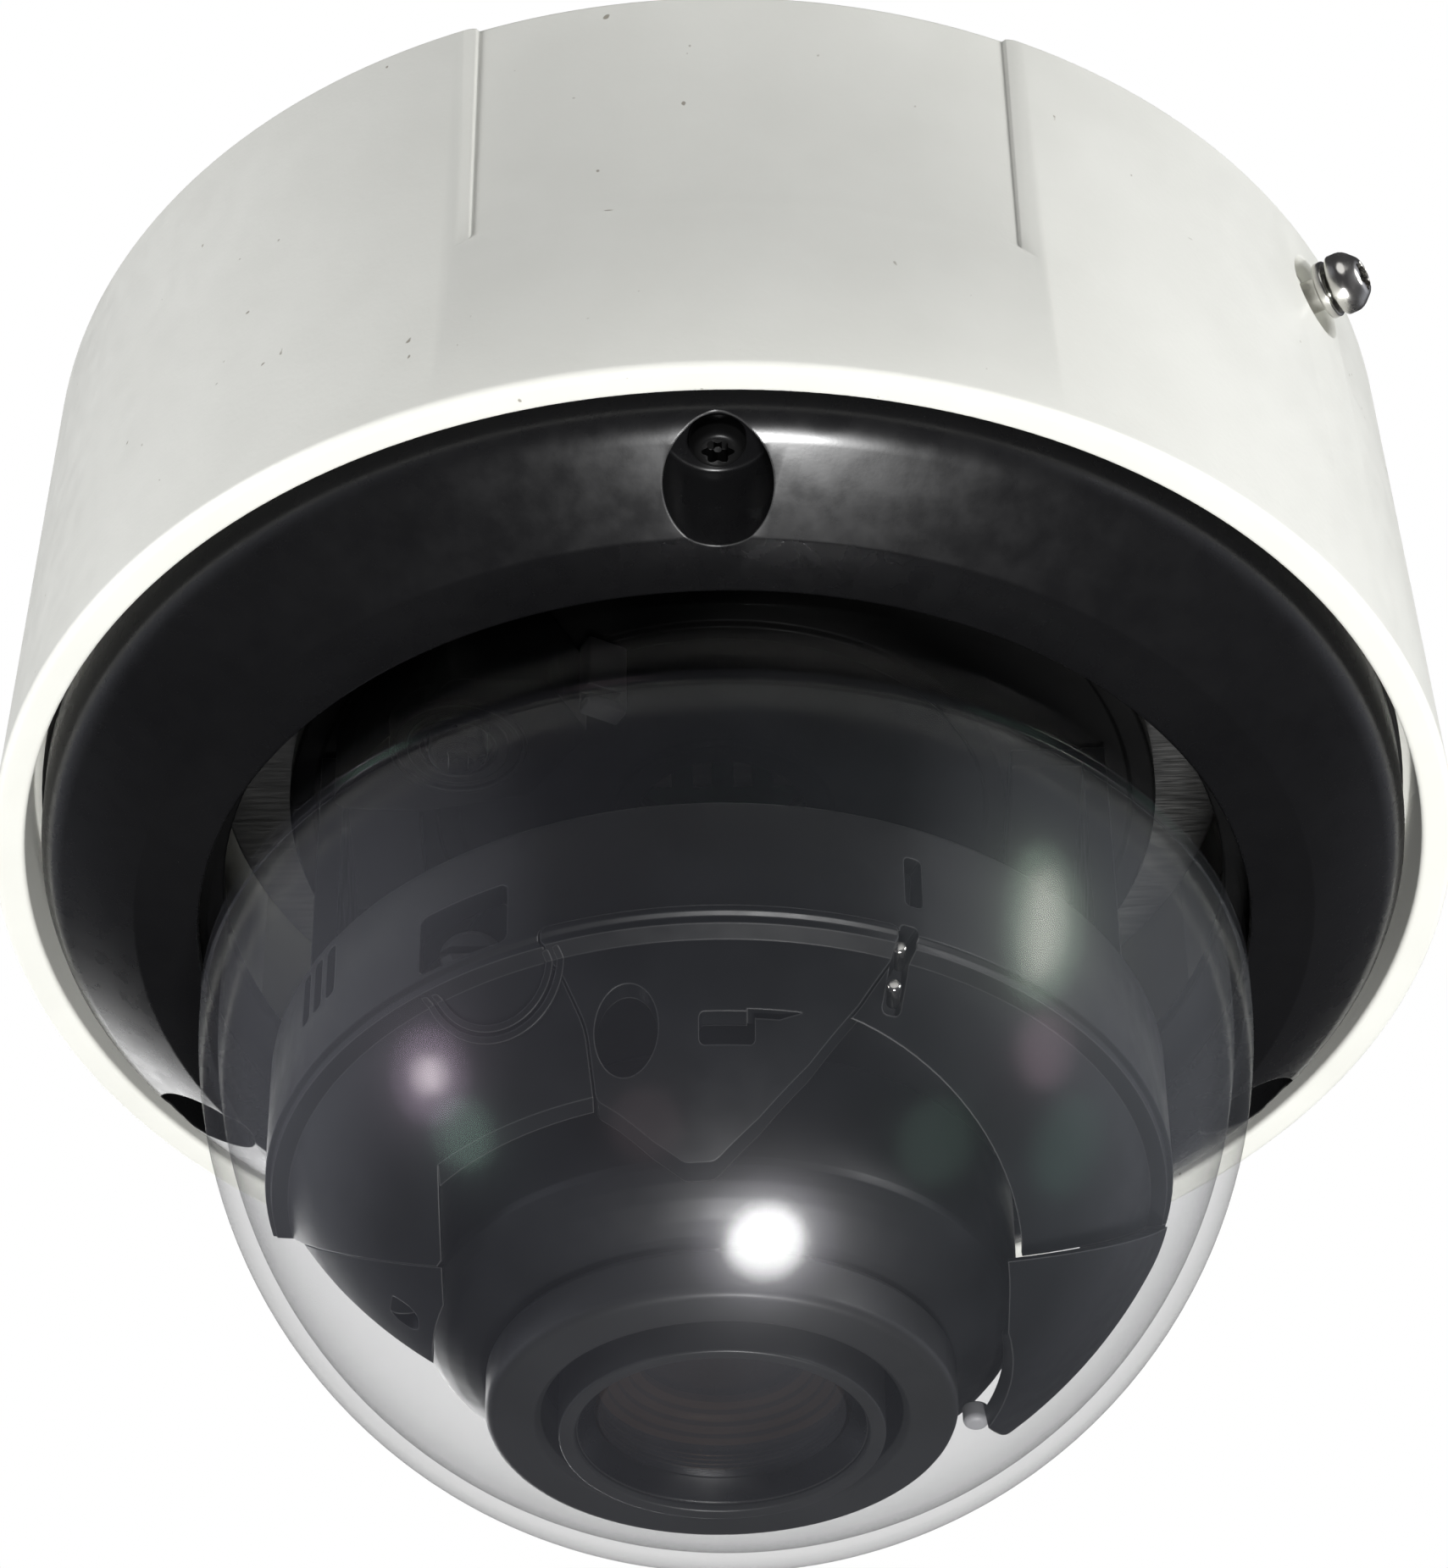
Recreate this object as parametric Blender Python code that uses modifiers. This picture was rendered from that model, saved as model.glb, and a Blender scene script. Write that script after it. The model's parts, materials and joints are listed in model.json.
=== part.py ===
"""Dome CCTV camera that hangs from a ceiling plate.

The row's origin is the centre of the ceiling face of the mounting plate, with +Z up into the
ceiling, and the camera looks down. All sizes are written in millimetres and turned into
metres by MM. The gimbal hangs from three nested pivots: pan about the vertical, tilt about X,
and a turn about the lens axis.
"""

import math

import bmesh
import bpy
from mathutils import Matrix, Vector

MM = 0.001

# Housing
RIM_R = 76.5
MOUNT_R = 73.7
RIM_Z = -57.7
LIP_IN_R = 73.1
WALL_TOP_IN_R = 70.3
FLOOR_TOP = -16.0
FLOOR_BOTTOM = -19.0
LEDGE_Z = -48.3
LEDGE_IN_R = 69.2
PANEL_X = (-24.5, 30.5)
PANEL_BOTTOM = -34.7
PANEL_DEPTH = 1.3
GLAND_Y = 34.0

# Side screw, radial, near the mounting plane
SIDE_AZIMUTH = math.radians(-31.0)
SIDE_Z = -9.0
SIDE_HEAD_R = 3.3
SIDE_STAND_OFF = 2.6

# Bezel and its screws
BEZEL_R = 71.5
LAND_OUT_R = 61.2
LAND_OUT_Z = RIM_Z - 7.7
HOLE_R = 54.6
HOLE_Z = RIM_Z - 8.6
POCKET_R = 5.3
POCKET_AT_R = 65.6
POCKET_FLOOR = RIM_Z + 2.2
POCKET_ANGLES = (270.0, 30.0, 150.0)

# Bubble
DOME_R = 53.9
DOME_WALL = 2.0
PIVOT_Z = RIM_Z - 20.5
FLANGE_R = 58.4
FLANGE_TOP = -60.3
FLANGE_BOTTOM = -62.8

# Boards and gimbal base
BOARD_R = 46.0
BOARD_TOP = -24.0
BOARD_BOTTOM = -25.6
BOARD_SCREW_R = 40.0
BOARD_ANGLES = (0.0, 120.0, 240.0)
BRACKET_TOP = -40.0
BRACKET_BOTTOM = -41.5
POST_AT_R = 50.5
POST_ANGLES = (90.0, 210.0, 330.0)

# Shroud, measured from the pivot
SHROUD_R = 48.0
SHROUD_T = 1.6
WALL_R = 45.3
WALL_TOP = -6.5
WALL_BOTTOM = -20.0
OPEN_X = (-27.5, 29.3)
OPEN_END_Y = -11.0
APRON_Z = -32.5
SEAM_Z = -24.8
SEAM_SLOPE = math.radians(43.0)
WING_FAR_Y = (0.5, 22.0)
WING_R = 49.1
COLLAR_ROOM_R = 31.0
HEAD_X = -0.9
HEART = (
    (-18.2, -19.4), (-15.3, -22.9), (-13.0, -27.5), (-12.2, -32.9), (-10.1, -34.1),
    (-6.9, -36.2), (-4.0, -37.7), (-1.2, -37.7), (3.0, -34.9), (7.7, -31.0), (12.4, -26.0),
    (15.5, -21.8), (16.9, -19.4),
)

# Tilting module, along the lens axis from the pivot
REST_TILT = math.radians(3.0)
ARM_X = 38.5
ARM_T = 2.5
MODULE_R = 27.8
COLLAR_R = 29.3
RING_R = 23.0
RING_FACE = -45.0
RING_IN_R = 17.6
BARREL_R = 15.9
BARREL_FACE = -46.8
GLASS_R = 12.1

GAP = 0.3
ROUND = 40
FINE = 24
SMALL = 12
COARSE = 32


# ---------------------------------------------------------------- scene and materials

def clear_scene():
    for thing in list(bpy.data.objects):
        bpy.data.objects.remove(thing, do_unlink=True)


def collection(name, hidden=False):
    made = bpy.data.collections.new(name)
    bpy.context.scene.collection.children.link(made)
    made.hide_render = hidden
    return made


def material(name, colour, roughness, metallic=0.0, alpha=1.0):
    made = bpy.data.materials.new(name)
    made.use_nodes = True
    shader = made.node_tree.nodes["Principled BSDF"]
    shader.inputs["Base Color"].default_value = (*colour, 1.0)
    shader.inputs["Roughness"].default_value = roughness
    shader.inputs["Metallic"].default_value = metallic
    shader.inputs["Alpha"].default_value = alpha
    made.diffuse_color = (*colour, alpha)
    return made


clear_scene()
PARTS = collection("dome_cctv_camera")
CUTTERS = collection("cutters", hidden=True)
WHITE = material("white_paint", (0.80, 0.80, 0.76), 0.45)
BLACK = material("black_satin", (0.015, 0.015, 0.017), 0.38)
SHELL = material("black_shell", (0.03, 0.03, 0.035), 0.35)
STEEL = material("stainless", (0.62, 0.61, 0.58), 0.25, 1.0)
DARK_STEEL = material("black_steel", (0.02, 0.02, 0.02), 0.3, 0.8)
ALUMINIUM = material("aluminium", (0.70, 0.70, 0.72), 0.4, 1.0)
CLEAR = material("polycarbonate", (0.85, 0.86, 0.88), 0.03, 0.0, 0.3)
GLASS = material("lens_glass", (0.20, 0.16, 0.14), 0.02, 0.0, 0.5)
RUBBER = material("rubber", (0.03, 0.03, 0.03), 0.8)
BOARD = material("circuit_board", (0.02, 0.12, 0.05), 0.5)
PLASTIC = material("grey_plastic", (0.35, 0.35, 0.36), 0.5)
GREEN = material("terminal_green", (0.05, 0.35, 0.12), 0.5)


# ---------------------------------------------------------------- shapes

def pivot(name, at, parent=None, turn=(0.0, 0.0, 0.0)):
    """An empty on a joint's axis; at is measured from its parent, in millimetres."""
    made = bpy.data.objects.new(name, None)
    PARTS.objects.link(made)
    made.location = Vector(at) * MM
    made.rotation_euler = turn
    made.parent = parent
    return made


def add(name, mesh, paint=None, parent=None, at=(0, 0, 0), turn=(0, 0, 0)):
    """An object of the mesh: a sub-part when it has paint, and otherwise a cutter."""
    made = bpy.data.objects.new(name, mesh)
    (PARTS if paint else CUTTERS).objects.link(made)
    made.location = Vector(at) * MM
    made.rotation_euler = turn
    made.parent = parent
    if paint:
        mesh.materials.append(paint)
    else:
        made.hide_render = True
        made.display_type = "WIRE"
    return made


def turned(name, outline, paint=None, parent=None, at=(0, 0, 0), turn=(0, 0, 0), steps=FINE):
    """A body of revolution about local Z. The outline (radius, z) runs down its outer side."""
    mesh = bpy.data.meshes.new(name)
    points = [(r * MM, 0.0, z * MM) for r, z in outline]
    edges = [(i, i + 1) for i in range(len(points) - 1)]
    on_axis = outline[0][0] == 0.0 and outline[-1][0] == 0.0
    if not on_axis:
        edges.append((len(points) - 1, 0))
    mesh.from_pydata(points, edges, [])
    made = add(name, mesh, paint, parent, at, turn)
    screw = made.modifiers.new("turn", "SCREW")
    screw.steps = steps
    screw.render_steps = steps
    screw.use_merge_vertices = True
    screw.merge_threshold = 1e-6
    screw.use_smooth_shade = True
    return made


def outline_prism(name, outline, low, high, paint=None, parent=None, at=(0, 0, 0), turn=(0, 0, 0)):
    """A flat outline (x, y) drawn out along local Z from low to high."""
    shape = bmesh.new()
    corners = [shape.verts.new((x * MM, y * MM, low * MM)) for x, y in outline]
    face = shape.faces.new(corners)
    drawn = bmesh.ops.extrude_face_region(shape, geom=[face])
    lifted = [v for v in drawn["geom"] if isinstance(v, bmesh.types.BMVert)]
    bmesh.ops.translate(shape, verts=lifted, vec=(0, 0, (high - low) * MM))
    bmesh.ops.recalc_face_normals(shape, faces=shape.faces)
    mesh = bpy.data.meshes.new(name)
    shape.to_mesh(mesh)
    shape.free()
    return add(name, mesh, paint, parent, at, turn)


def block(name, low, high, paint=None, parent=None, at=(0, 0, 0), turn=(0, 0, 0), bevel=0.0):
    """A box between two corners, with its edges rounded by bevel."""
    shape = bmesh.new()
    bmesh.ops.create_cube(shape, size=1.0)
    size = [(b - a) * MM for a, b in zip(low, high)]
    middle = Vector([(a + b) / 2 * MM for a, b in zip(low, high)])
    bmesh.ops.scale(shape, verts=shape.verts, vec=size)
    bmesh.ops.translate(shape, verts=shape.verts, vec=middle)
    mesh = bpy.data.meshes.new(name)
    shape.to_mesh(mesh)
    shape.free()
    made = add(name, mesh, paint, parent, at, turn)
    if bevel:
        edge = made.modifiers.new("round", "BEVEL")
        edge.width = bevel * MM
        edge.segments = 1
    return made


def rod(name, radius, low, high, paint=None, parent=None, at=(0, 0, 0), turn=(0, 0, 0), steps=SMALL):
    """A cylinder along local Z from low to high."""
    shape = bmesh.new()
    lift = Matrix.Translation((0, 0, (low + high) / 2 * MM))
    bmesh.ops.create_cone(shape, cap_ends=True, segments=steps, radius1=radius * MM,
                          radius2=radius * MM, depth=(high - low) * MM, matrix=lift)
    mesh = bpy.data.meshes.new(name)
    shape.to_mesh(mesh)
    shape.free()
    made = add(name, mesh, paint, parent, at, turn)
    for polygon in mesh.polygons:
        polygon.use_smooth = len(polygon.vertices) == 4
    return made


def combine(target, tool, operation="DIFFERENCE"):
    change = target.modifiers.new(operation.lower() + "_" + tool.name, "BOOLEAN")
    change.operation = operation
    change.object = tool
    change.solver = "EXACT"


def around(radius, degrees, z=0.0):
    angle = math.radians(degrees)
    return (radius * math.cos(angle), radius * math.sin(angle), z)


def arc(radius, start, end, count, centre=(0.0, 0.0)):
    """Points (r, z) of an arc, with its angles in degrees above the horizontal."""
    points = []
    for i in range(count + 1):
        angle = math.radians(start + (end - start) * i / count)
        points.append((centre[0] + radius * math.cos(angle), centre[1] + radius * math.sin(angle)))
    return points


# ---------------------------------------------------------------- housing

def mounting_plate():
    plate = rod("mounting_plate", 64.0, -2.2, 0.0, STEEL, steps=ROUND)
    lug = block("lug_shape", (57.0, -6.0, -13.0), (63.0, 6.0, -1.0), turn=(0, 0, SIDE_AZIMUTH))
    combine(plate, lug, "UNION")
    combine(plate, rod("plate_cable_hole", 11.0, -5.0, 5.0, at=(0, GLAND_Y, 0), steps=FINE))
    for i, degrees in enumerate((20.0, 140.0, 260.0)):
        combine(plate, rod(f"plate_screw_hole_{i}", 2.3, -5.0, 5.0, at=around(50.0, degrees)))
    along = (0, math.pi / 2, SIDE_AZIMUTH)
    combine(plate, rod("lug_hole", 2.0, 50.0, 70.0, at=(0, 0, SIDE_Z), turn=along))


def outer_housing():
    outline = [
        (0.0, FLOOR_TOP), (WALL_TOP_IN_R, FLOOR_TOP), (WALL_TOP_IN_R, -0.4), (MOUNT_R, -0.4),
        (RIM_R, RIM_Z + 0.8), (RIM_R - 0.3, RIM_Z + 0.2), (RIM_R - 0.8, RIM_Z),
        (LIP_IN_R + 0.6, RIM_Z), (LIP_IN_R, RIM_Z + 0.6), (LIP_IN_R - 0.3, LEDGE_Z),
        (LEDGE_IN_R, LEDGE_Z), (LEDGE_IN_R - 0.4, FLOOR_BOTTOM), (0.0, FLOOR_BOTTOM),
    ]
    shell = turned("outer_housing", outline, WHITE, steps=ROUND)
    for i, degrees in enumerate(POCKET_ANGLES):
        lug = rod(f"lug_{i}", 5.0, -50.0, FLOOR_BOTTOM + 1.0, at=around(POCKET_AT_R, degrees))
        combine(shell, lug, "UNION")
    for i, degrees in enumerate(BOARD_ANGLES):
        boss = rod(f"boss_{i}", 3.2, BOARD_TOP + GAP, FLOOR_BOTTOM + 1.0,
                   at=around(BOARD_SCREW_R, degrees))
        combine(shell, boss, "UNION")
    for i, degrees in enumerate(POCKET_ANGLES):
        combine(shell, rod(f"lug_bore_{i}", 1.8, -52.0, -36.0, at=around(POCKET_AT_R, degrees)))
    for i, degrees in enumerate(BOARD_ANGLES):
        combine(shell, rod(f"boss_bore_{i}", 1.5, -30.0, -20.5, at=around(BOARD_SCREW_R, degrees)))
    combine(shell, rod("floor_hole", 9.0, -30.0, -10.0, at=(0, GLAND_Y, 0), steps=FINE))
    along = (0, math.pi / 2, SIDE_AZIMUTH)
    combine(shell, rod("side_hole", 2.4, 60.0, 90.0, at=(0, 0, SIDE_Z), turn=along))
    combine(shell, rod("crater", 4.3, MOUNT_R - 1.6, 90.0, at=(0, 0, SIDE_Z), turn=along))
    combine(shell, side_panel_cutter())


def side_panel_cutter():
    """What the shallow recess in the near side takes away: a ring sector of the tapered wall."""
    taper = (RIM_R - MOUNT_R) / -RIM_Z
    floor_r = MOUNT_R - PANEL_DEPTH
    top, bottom = 2.0, PANEL_BOTTOM
    ring = turned("panel_cutter", [
        (floor_r - taper * top, top), (90.0, top), (90.0, bottom), (floor_r - taper * bottom, bottom),
    ], steps=ROUND)
    side = block("panel_side", (PANEL_X[0], -100.0, -60.0), (PANEL_X[1], -40.0, 20.0))
    combine(ring, side, "INTERSECT")
    return ring


def side_screw():
    """Radial security screw, shown partly backed out; local Z runs outwards."""
    along = (0, math.pi / 2, SIDE_AZIMUTH)
    seat = MOUNT_R + SIDE_STAND_OFF
    outline = [
        (0.0, seat + 3.4), (1.6, seat + 3.3), (2.6, seat + 2.9), (SIDE_HEAD_R, seat + 1.9),
        (SIDE_HEAD_R, seat + 0.5), (SIDE_HEAD_R - 0.4, seat), (1.8, seat), (1.8, 58.0),
        (1.2, 57.0), (0.0, 57.0),
    ]
    screw = turned("side_screw", outline, STEEL, at=(0, 0, SIDE_Z), turn=along, steps=24)
    socket = rod("side_socket", 1.5, seat + 1.4, seat + 9.0, at=(0, 0, SIDE_Z), turn=along, steps=6)
    combine(screw, socket)
    low, high = seat - 1.3, seat - GAP
    turned("side_screw_washer", [(2.1, high), (3.1, high), (3.1, low), (2.1, low)], STEEL,
           at=(0, 0, SIDE_Z), turn=along, steps=24)


def cable_grommet():
    turned("cable_grommet", [
        (4.0, -13.8), (11.5, -13.8), (12.0, -15.6), (8.6, -15.7), (8.6, -19.3), (11.2, -19.4),
        (10.8, -21.2), (4.0, -21.2),
    ], RUBBER, at=(0, GLAND_Y, 0), steps=FINE)


def cover_seal():
    seal = turned("cover_seal", [(69.4, -48.6), (71.9, -48.6), (71.9, -50.1), (69.4, -50.1)],
                  RUBBER, steps=ROUND)
    for i, degrees in enumerate(POCKET_ANGLES):
        combine(seal, rod(f"seal_notch_{i}", 5.4, -52.0, -46.0, at=around(POCKET_AT_R, degrees)))


# ---------------------------------------------------------------- cover

def bezel_ring():
    outer = [
        (BEZEL_R, -50.5), (BEZEL_R, RIM_Z + 0.3), (BEZEL_R - 0.4, RIM_Z - 0.6),
        (BEZEL_R - 1.6, RIM_Z - 2.0), (BEZEL_R - 3.4, RIM_Z - 3.2), (LAND_OUT_R + 0.6, RIM_Z - 7.3),
        (LAND_OUT_R - 0.6, LAND_OUT_Z - 0.1), (HOLE_R, HOLE_Z),
    ]
    inner = [
        (HOLE_R, HOLE_Z + 1.6), (60.2, RIM_Z - 6.5), (66.8, RIM_Z - 1.5), (69.3, RIM_Z + 0.4),
        (69.4, -50.5),
    ]
    ring = turned("bezel_ring", outer + inner, BLACK, steps=ROUND)
    for i, degrees in enumerate(POCKET_ANGLES):
        envelope = turned(f"bezel_envelope_{i}", [(0.0, -52.0), (BEZEL_R - 0.2, -52.0)]
                          + outer[1:] + [(0.0, HOLE_Z)], steps=ROUND)
        boss = rod(f"pocket_boss_{i}", POCKET_R + 1.3, -70.0, -51.5,
                   at=around(POCKET_AT_R, degrees), steps=24)
        combine(boss, envelope, "INTERSECT")
        combine(ring, boss, "UNION")
    for i, degrees in enumerate(POCKET_ANGLES):
        at = around(POCKET_AT_R, degrees)
        combine(ring, rod(f"pocket_{i}", POCKET_R, -75.0, POCKET_FLOOR, at=at, steps=24))
        combine(ring, rod(f"shank_hole_{i}", 2.0, -60.0, -45.0, at=at))


def bezel_screws():
    """Captive security screws, seated on the floors of the bezel's pockets."""
    for i, degrees in enumerate(POCKET_ANGLES):
        axis = pivot(f"bezel_screw_axis_{i + 1}", around(POCKET_AT_R, degrees, POCKET_FLOOR))
        outline = [
            (0.0, 15.0), (1.0, 15.0), (1.45, 14.2), (1.45, -GAP), (2.4, -GAP), (2.75, -0.7),
            (2.75, -1.8), (2.2, -2.5), (0.0, -2.7),
        ]
        screw = turned(f"bezel_screw_{i + 1}", outline, DARK_STEEL, parent=axis, steps=SMALL)
        combine(screw, rod(f"screw_socket_{i}", 1.3, -6.0, -1.3, parent=axis, steps=6))


def dome_bubble():
    inner_r = DOME_R - DOME_WALL
    outer = [
        (FLANGE_R, FLANGE_TOP), (FLANGE_R, FLANGE_BOTTOM), (DOME_R, FLANGE_BOTTOM),
        (DOME_R, -75.6), (DOME_R - 0.5, -76.0), (DOME_R - 0.5, -76.8), (DOME_R - 0.05, -77.2),
    ]
    bowl = arc(DOME_R - 0.05, 0.0, -90.0, 8, (0.0, PIVOT_Z))
    inside = arc(inner_r, -90.0, 0.0, 7, (0.0, PIVOT_Z))
    bowl[-1] = (0.0, PIVOT_Z - DOME_R + 0.05)
    inside[0] = (0.0, PIVOT_Z - inner_r)
    outline = inside + [(inner_r, FLANGE_TOP)] + outer + bowl
    turned("dome_bubble", outline, CLEAR, steps=ROUND)


def dome_clamp():
    turned("dome_seal", [(55.2, -63.1), (57.9, -63.1), (57.9, -63.9), (55.2, -63.9)], RUBBER,
           steps=ROUND)
    turned("dome_retainer", [(52.3, -58.0), (57.8, -58.0), (58.4, -58.6), (58.4, -60.0),
                             (52.3, -60.0)], PLASTIC, steps=ROUND)


# ---------------------------------------------------------------- boards

def main_board():
    board = rod("main_board", BOARD_R, BOARD_BOTTOM, BOARD_TOP, BOARD, steps=COARSE)
    combine(board, rod("board_notch", 10.0, -30.0, -20.0, at=(0, 40.0, 0), steps=24))
    for i, degrees in enumerate(BOARD_ANGLES):
        at = around(BOARD_SCREW_R, degrees)
        combine(board, rod(f"board_hole_{i}", 1.5, -30.0, -20.0, at=at))
        turned(f"board_screw_{i + 1}", [
            (0.0, -21.0), (1.2, -21.0), (1.2, BOARD_BOTTOM - GAP), (2.5, BOARD_BOTTOM - GAP),
            (2.5, -27.2), (1.9, -27.9), (0.0, -28.0),
        ], STEEL, at=at, steps=12)


def heat_sink():
    top = BOARD_BOTTOM - GAP
    sink = block("heat_sink", (-11.0, -11.0, -34.0), (11.0, 11.0, top), ALUMINIUM)
    for i in range(5):
        x = -8.8 + 4.4 * i
        combine(sink, block(f"fin_gap_{i}", (x - 1.2, -15.0, -40.0), (x + 1.2, 15.0, top - 2.0)))


def connectors():
    top = BOARD_BOTTOM - GAP
    socket = block("network_socket", (-33.0, 8.0, -39.0), (-17.0, 22.0, top), STEEL)
    combine(socket, block("socket_mouth", (-31.0, 10.5, -37.5), (-19.0, 30.0, -29.0)))
    terminal = block("power_terminal", (16.0, 12.0, -34.0), (30.0, 22.0, top), GREEN)
    for i, x in enumerate((19.5, 26.5)):
        hole = rod(f"wire_hole_{i}", 1.7, 0.0, 10.0, at=(x, 18.5, -31.0), turn=(-math.pi / 2, 0, 0))
        combine(terminal, hole)


def memory():
    top = BOARD_BOTTOM - GAP
    holder = block("card_socket", (15.0, -16.0, -29.0), (31.0, -1.0, top), STEEL)
    combine(holder, block("card_slot", (17.0, -14.6, -28.4), (40.0, -2.4, -26.8)))
    block("memory_card", (18.0, -14.2, -28.1), (32.6, -2.8, -27.1), PLASTIC)


def reset_parts():
    top = BOARD_BOTTOM - GAP
    switch = block("reset_switch", (-24.0, -26.0, -29.4), (-18.0, -20.0, top), PLASTIC)
    combine(switch, rod("button_well", 2.0, -32.0, -27.2, at=(-21.0, -23.0, 0)))
    rod("reset_button", 1.7, -31.4, -28.2, BLACK, at=(-21.0, -23.0, 0))


# ---------------------------------------------------------------- gimbal base

def gimbal_base():
    bracket = rod("gimbal_bracket", 54.0, BRACKET_BOTTOM, BRACKET_TOP, STEEL, steps=COARSE)
    combine(bracket, rod("bracket_middle", 10.0, -60.0, -30.0, steps=24))
    for i, degrees in enumerate(POST_ANGLES):
        at = around(POST_AT_R, degrees)
        combine(bracket, rod(f"bracket_hole_{i}", 1.9, -60.0, -30.0, at=at))
        post = rod(f"bracket_post_{i + 1}", 3.2, BRACKET_TOP + GAP, FLOOR_BOTTOM - GAP, STEEL,
                   at=at, steps=6)
        combine(post, rod(f"post_bore_{i}", 1.7, -60.0, -30.0, at=at))
        turned(f"bracket_screw_{i + 1}", [
            (0.0, -32.0), (1.4, -32.0), (1.4, BRACKET_BOTTOM - GAP), (2.7, BRACKET_BOTTOM - GAP),
            (2.7, -43.2), (2.0, -43.9), (0.0, -44.0),
        ], DARK_STEEL, at=at, steps=12)
    turned("pan_base_ring", [(36.0, -41.8), (43.0, -41.8), (43.0, -44.8), (36.0, -44.8)],
           PLASTIC, steps=COARSE)


def pan_parts(pan):
    """What turns with the pan; the pan pivot is on the tilt axis, so z is measured from it."""
    top = -45.1 - PIVOT_Z
    plate = rod("pan_turntable", 46.0, top - 3.0, top, SHELL, parent=pan, steps=COARSE)
    combine(plate, rod("turntable_middle", 9.0, 0.0, 60.0, parent=pan, steps=24))
    under = top - 3.0 - GAP
    for side, name in ((-1, "yoke_left"), (1, "yoke_right")):
        yoke(name, side, under, pan)
    lock_outline = [(-41.0, -14.0), (-36.5, -21.5), (-27.0, -33.5), (-17.5, -33.0), (-13.5, -25.0),
                    (-20.0, -15.5), (-31.0, -13.2)]
    bracket = outline_prism("pan_lock_bracket", lock_outline, under - 10.2, under, SHELL, parent=pan)
    screw_at = (-26.8, -23.5, 0)
    combine(bracket, rod("lock_bore", 3.4, 0.0, 60.0, at=screw_at, parent=pan))
    axis = pivot("pan_lock_axis", screw_at, pan)
    screw = turned("pan_lock_screw", [
        (0.0, under - 4.0), (1.5, under - 4.0), (3.0, under - 8.0), (3.0, under - 10.8),
        (2.4, under - 11.4), (0.0, under - 11.6),
    ], DARK_STEEL, parent=axis, steps=SMALL)
    combine(screw, rod("lock_socket", 1.3, 0.0, under - 10.2, parent=axis, steps=6))
    clip_at = (-12.0, -27.5, 0)
    block("cable_clip", (-2.6, -1.4, under - 9.0), (2.6, 1.4, under), PLASTIC, parent=pan,
          at=clip_at, turn=(0, 0, 0.5), bevel=0.3)


def yoke(name, side, top, pan):
    """An arm with a foot under the turntable and a bore on the tilt axis."""
    near, far = sorted((HEAD_X + side * ARM_X, HEAD_X + side * (ARM_X + ARM_T)))
    arm = block(name, (near, -11.0, -13.5), (far, 11.0, top), SHELL, parent=pan)
    foot = sorted((HEAD_X + side * 31.0, HEAD_X + side * (ARM_X + 1.0)))
    combine(arm, block(name + "_foot", (foot[0], -11.0, top - 2.5), (foot[1], 11.0, top), parent=pan),
            "UNION")
    combine(arm, rod(name + "_bore", 3.4, -60.0, 60.0, parent=pan, turn=(0, math.pi / 2, 0)))


# ---------------------------------------------------------------- shroud

def shroud_blank(name, paint, pan, x=HEAD_X, wall=WALL_R, bowl=SHROUD_R):
    """The whole thin shell, before it is parted: an upright wall, a small step and a sphere."""
    rise = math.degrees(math.asin((WALL_BOTTOM - 2.0) / bowl))
    thin = bowl - SHROUD_T
    rise_in = math.degrees(math.asin((WALL_BOTTOM - 1.2) / thin))
    outer = [(wall, WALL_TOP), (wall, WALL_BOTTOM), (wall - 0.7, WALL_BOTTOM - 1.2)]
    outer += arc(bowl, rise, -56.0, 5)
    inner = arc(thin, -56.0, rise_in, 5) + [(wall - SHROUD_T, WALL_TOP)]
    return turned(name, outer + inner, paint, parent=pan, at=(x, 0, 0), steps=ROUND)


def heart_prism(name, grow, pan):
    """The centre plate's outline, drawn along Y over the near half of the shell."""
    middle_x = sum(x for x, _ in HEART) / len(HEART)
    middle_z = sum(z for _, z in HEART) / len(HEART)
    outline = []
    for x, z in HEART:
        away = Vector((x - middle_x, z - middle_z)).normalized() * grow
        outline.append((x + away.x, z + away.y))
    return outline_prism(name, outline, 8.0, 80.0, parent=pan, turn=(math.pi / 2, 0, 0))


def seam_block(name, drop, pan, below):
    """The half space above or below the slanting plane where the wings meet the shell."""
    span = (-90.0, 0.0) if below else (0.0, 90.0)
    return block(name, (-90.0, -90.0, span[0]), (90.0, 90.0, span[1]), parent=pan,
                 at=(0, 0, SEAM_Z + drop), turn=(SEAM_SLOPE, 0, 0))


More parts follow.
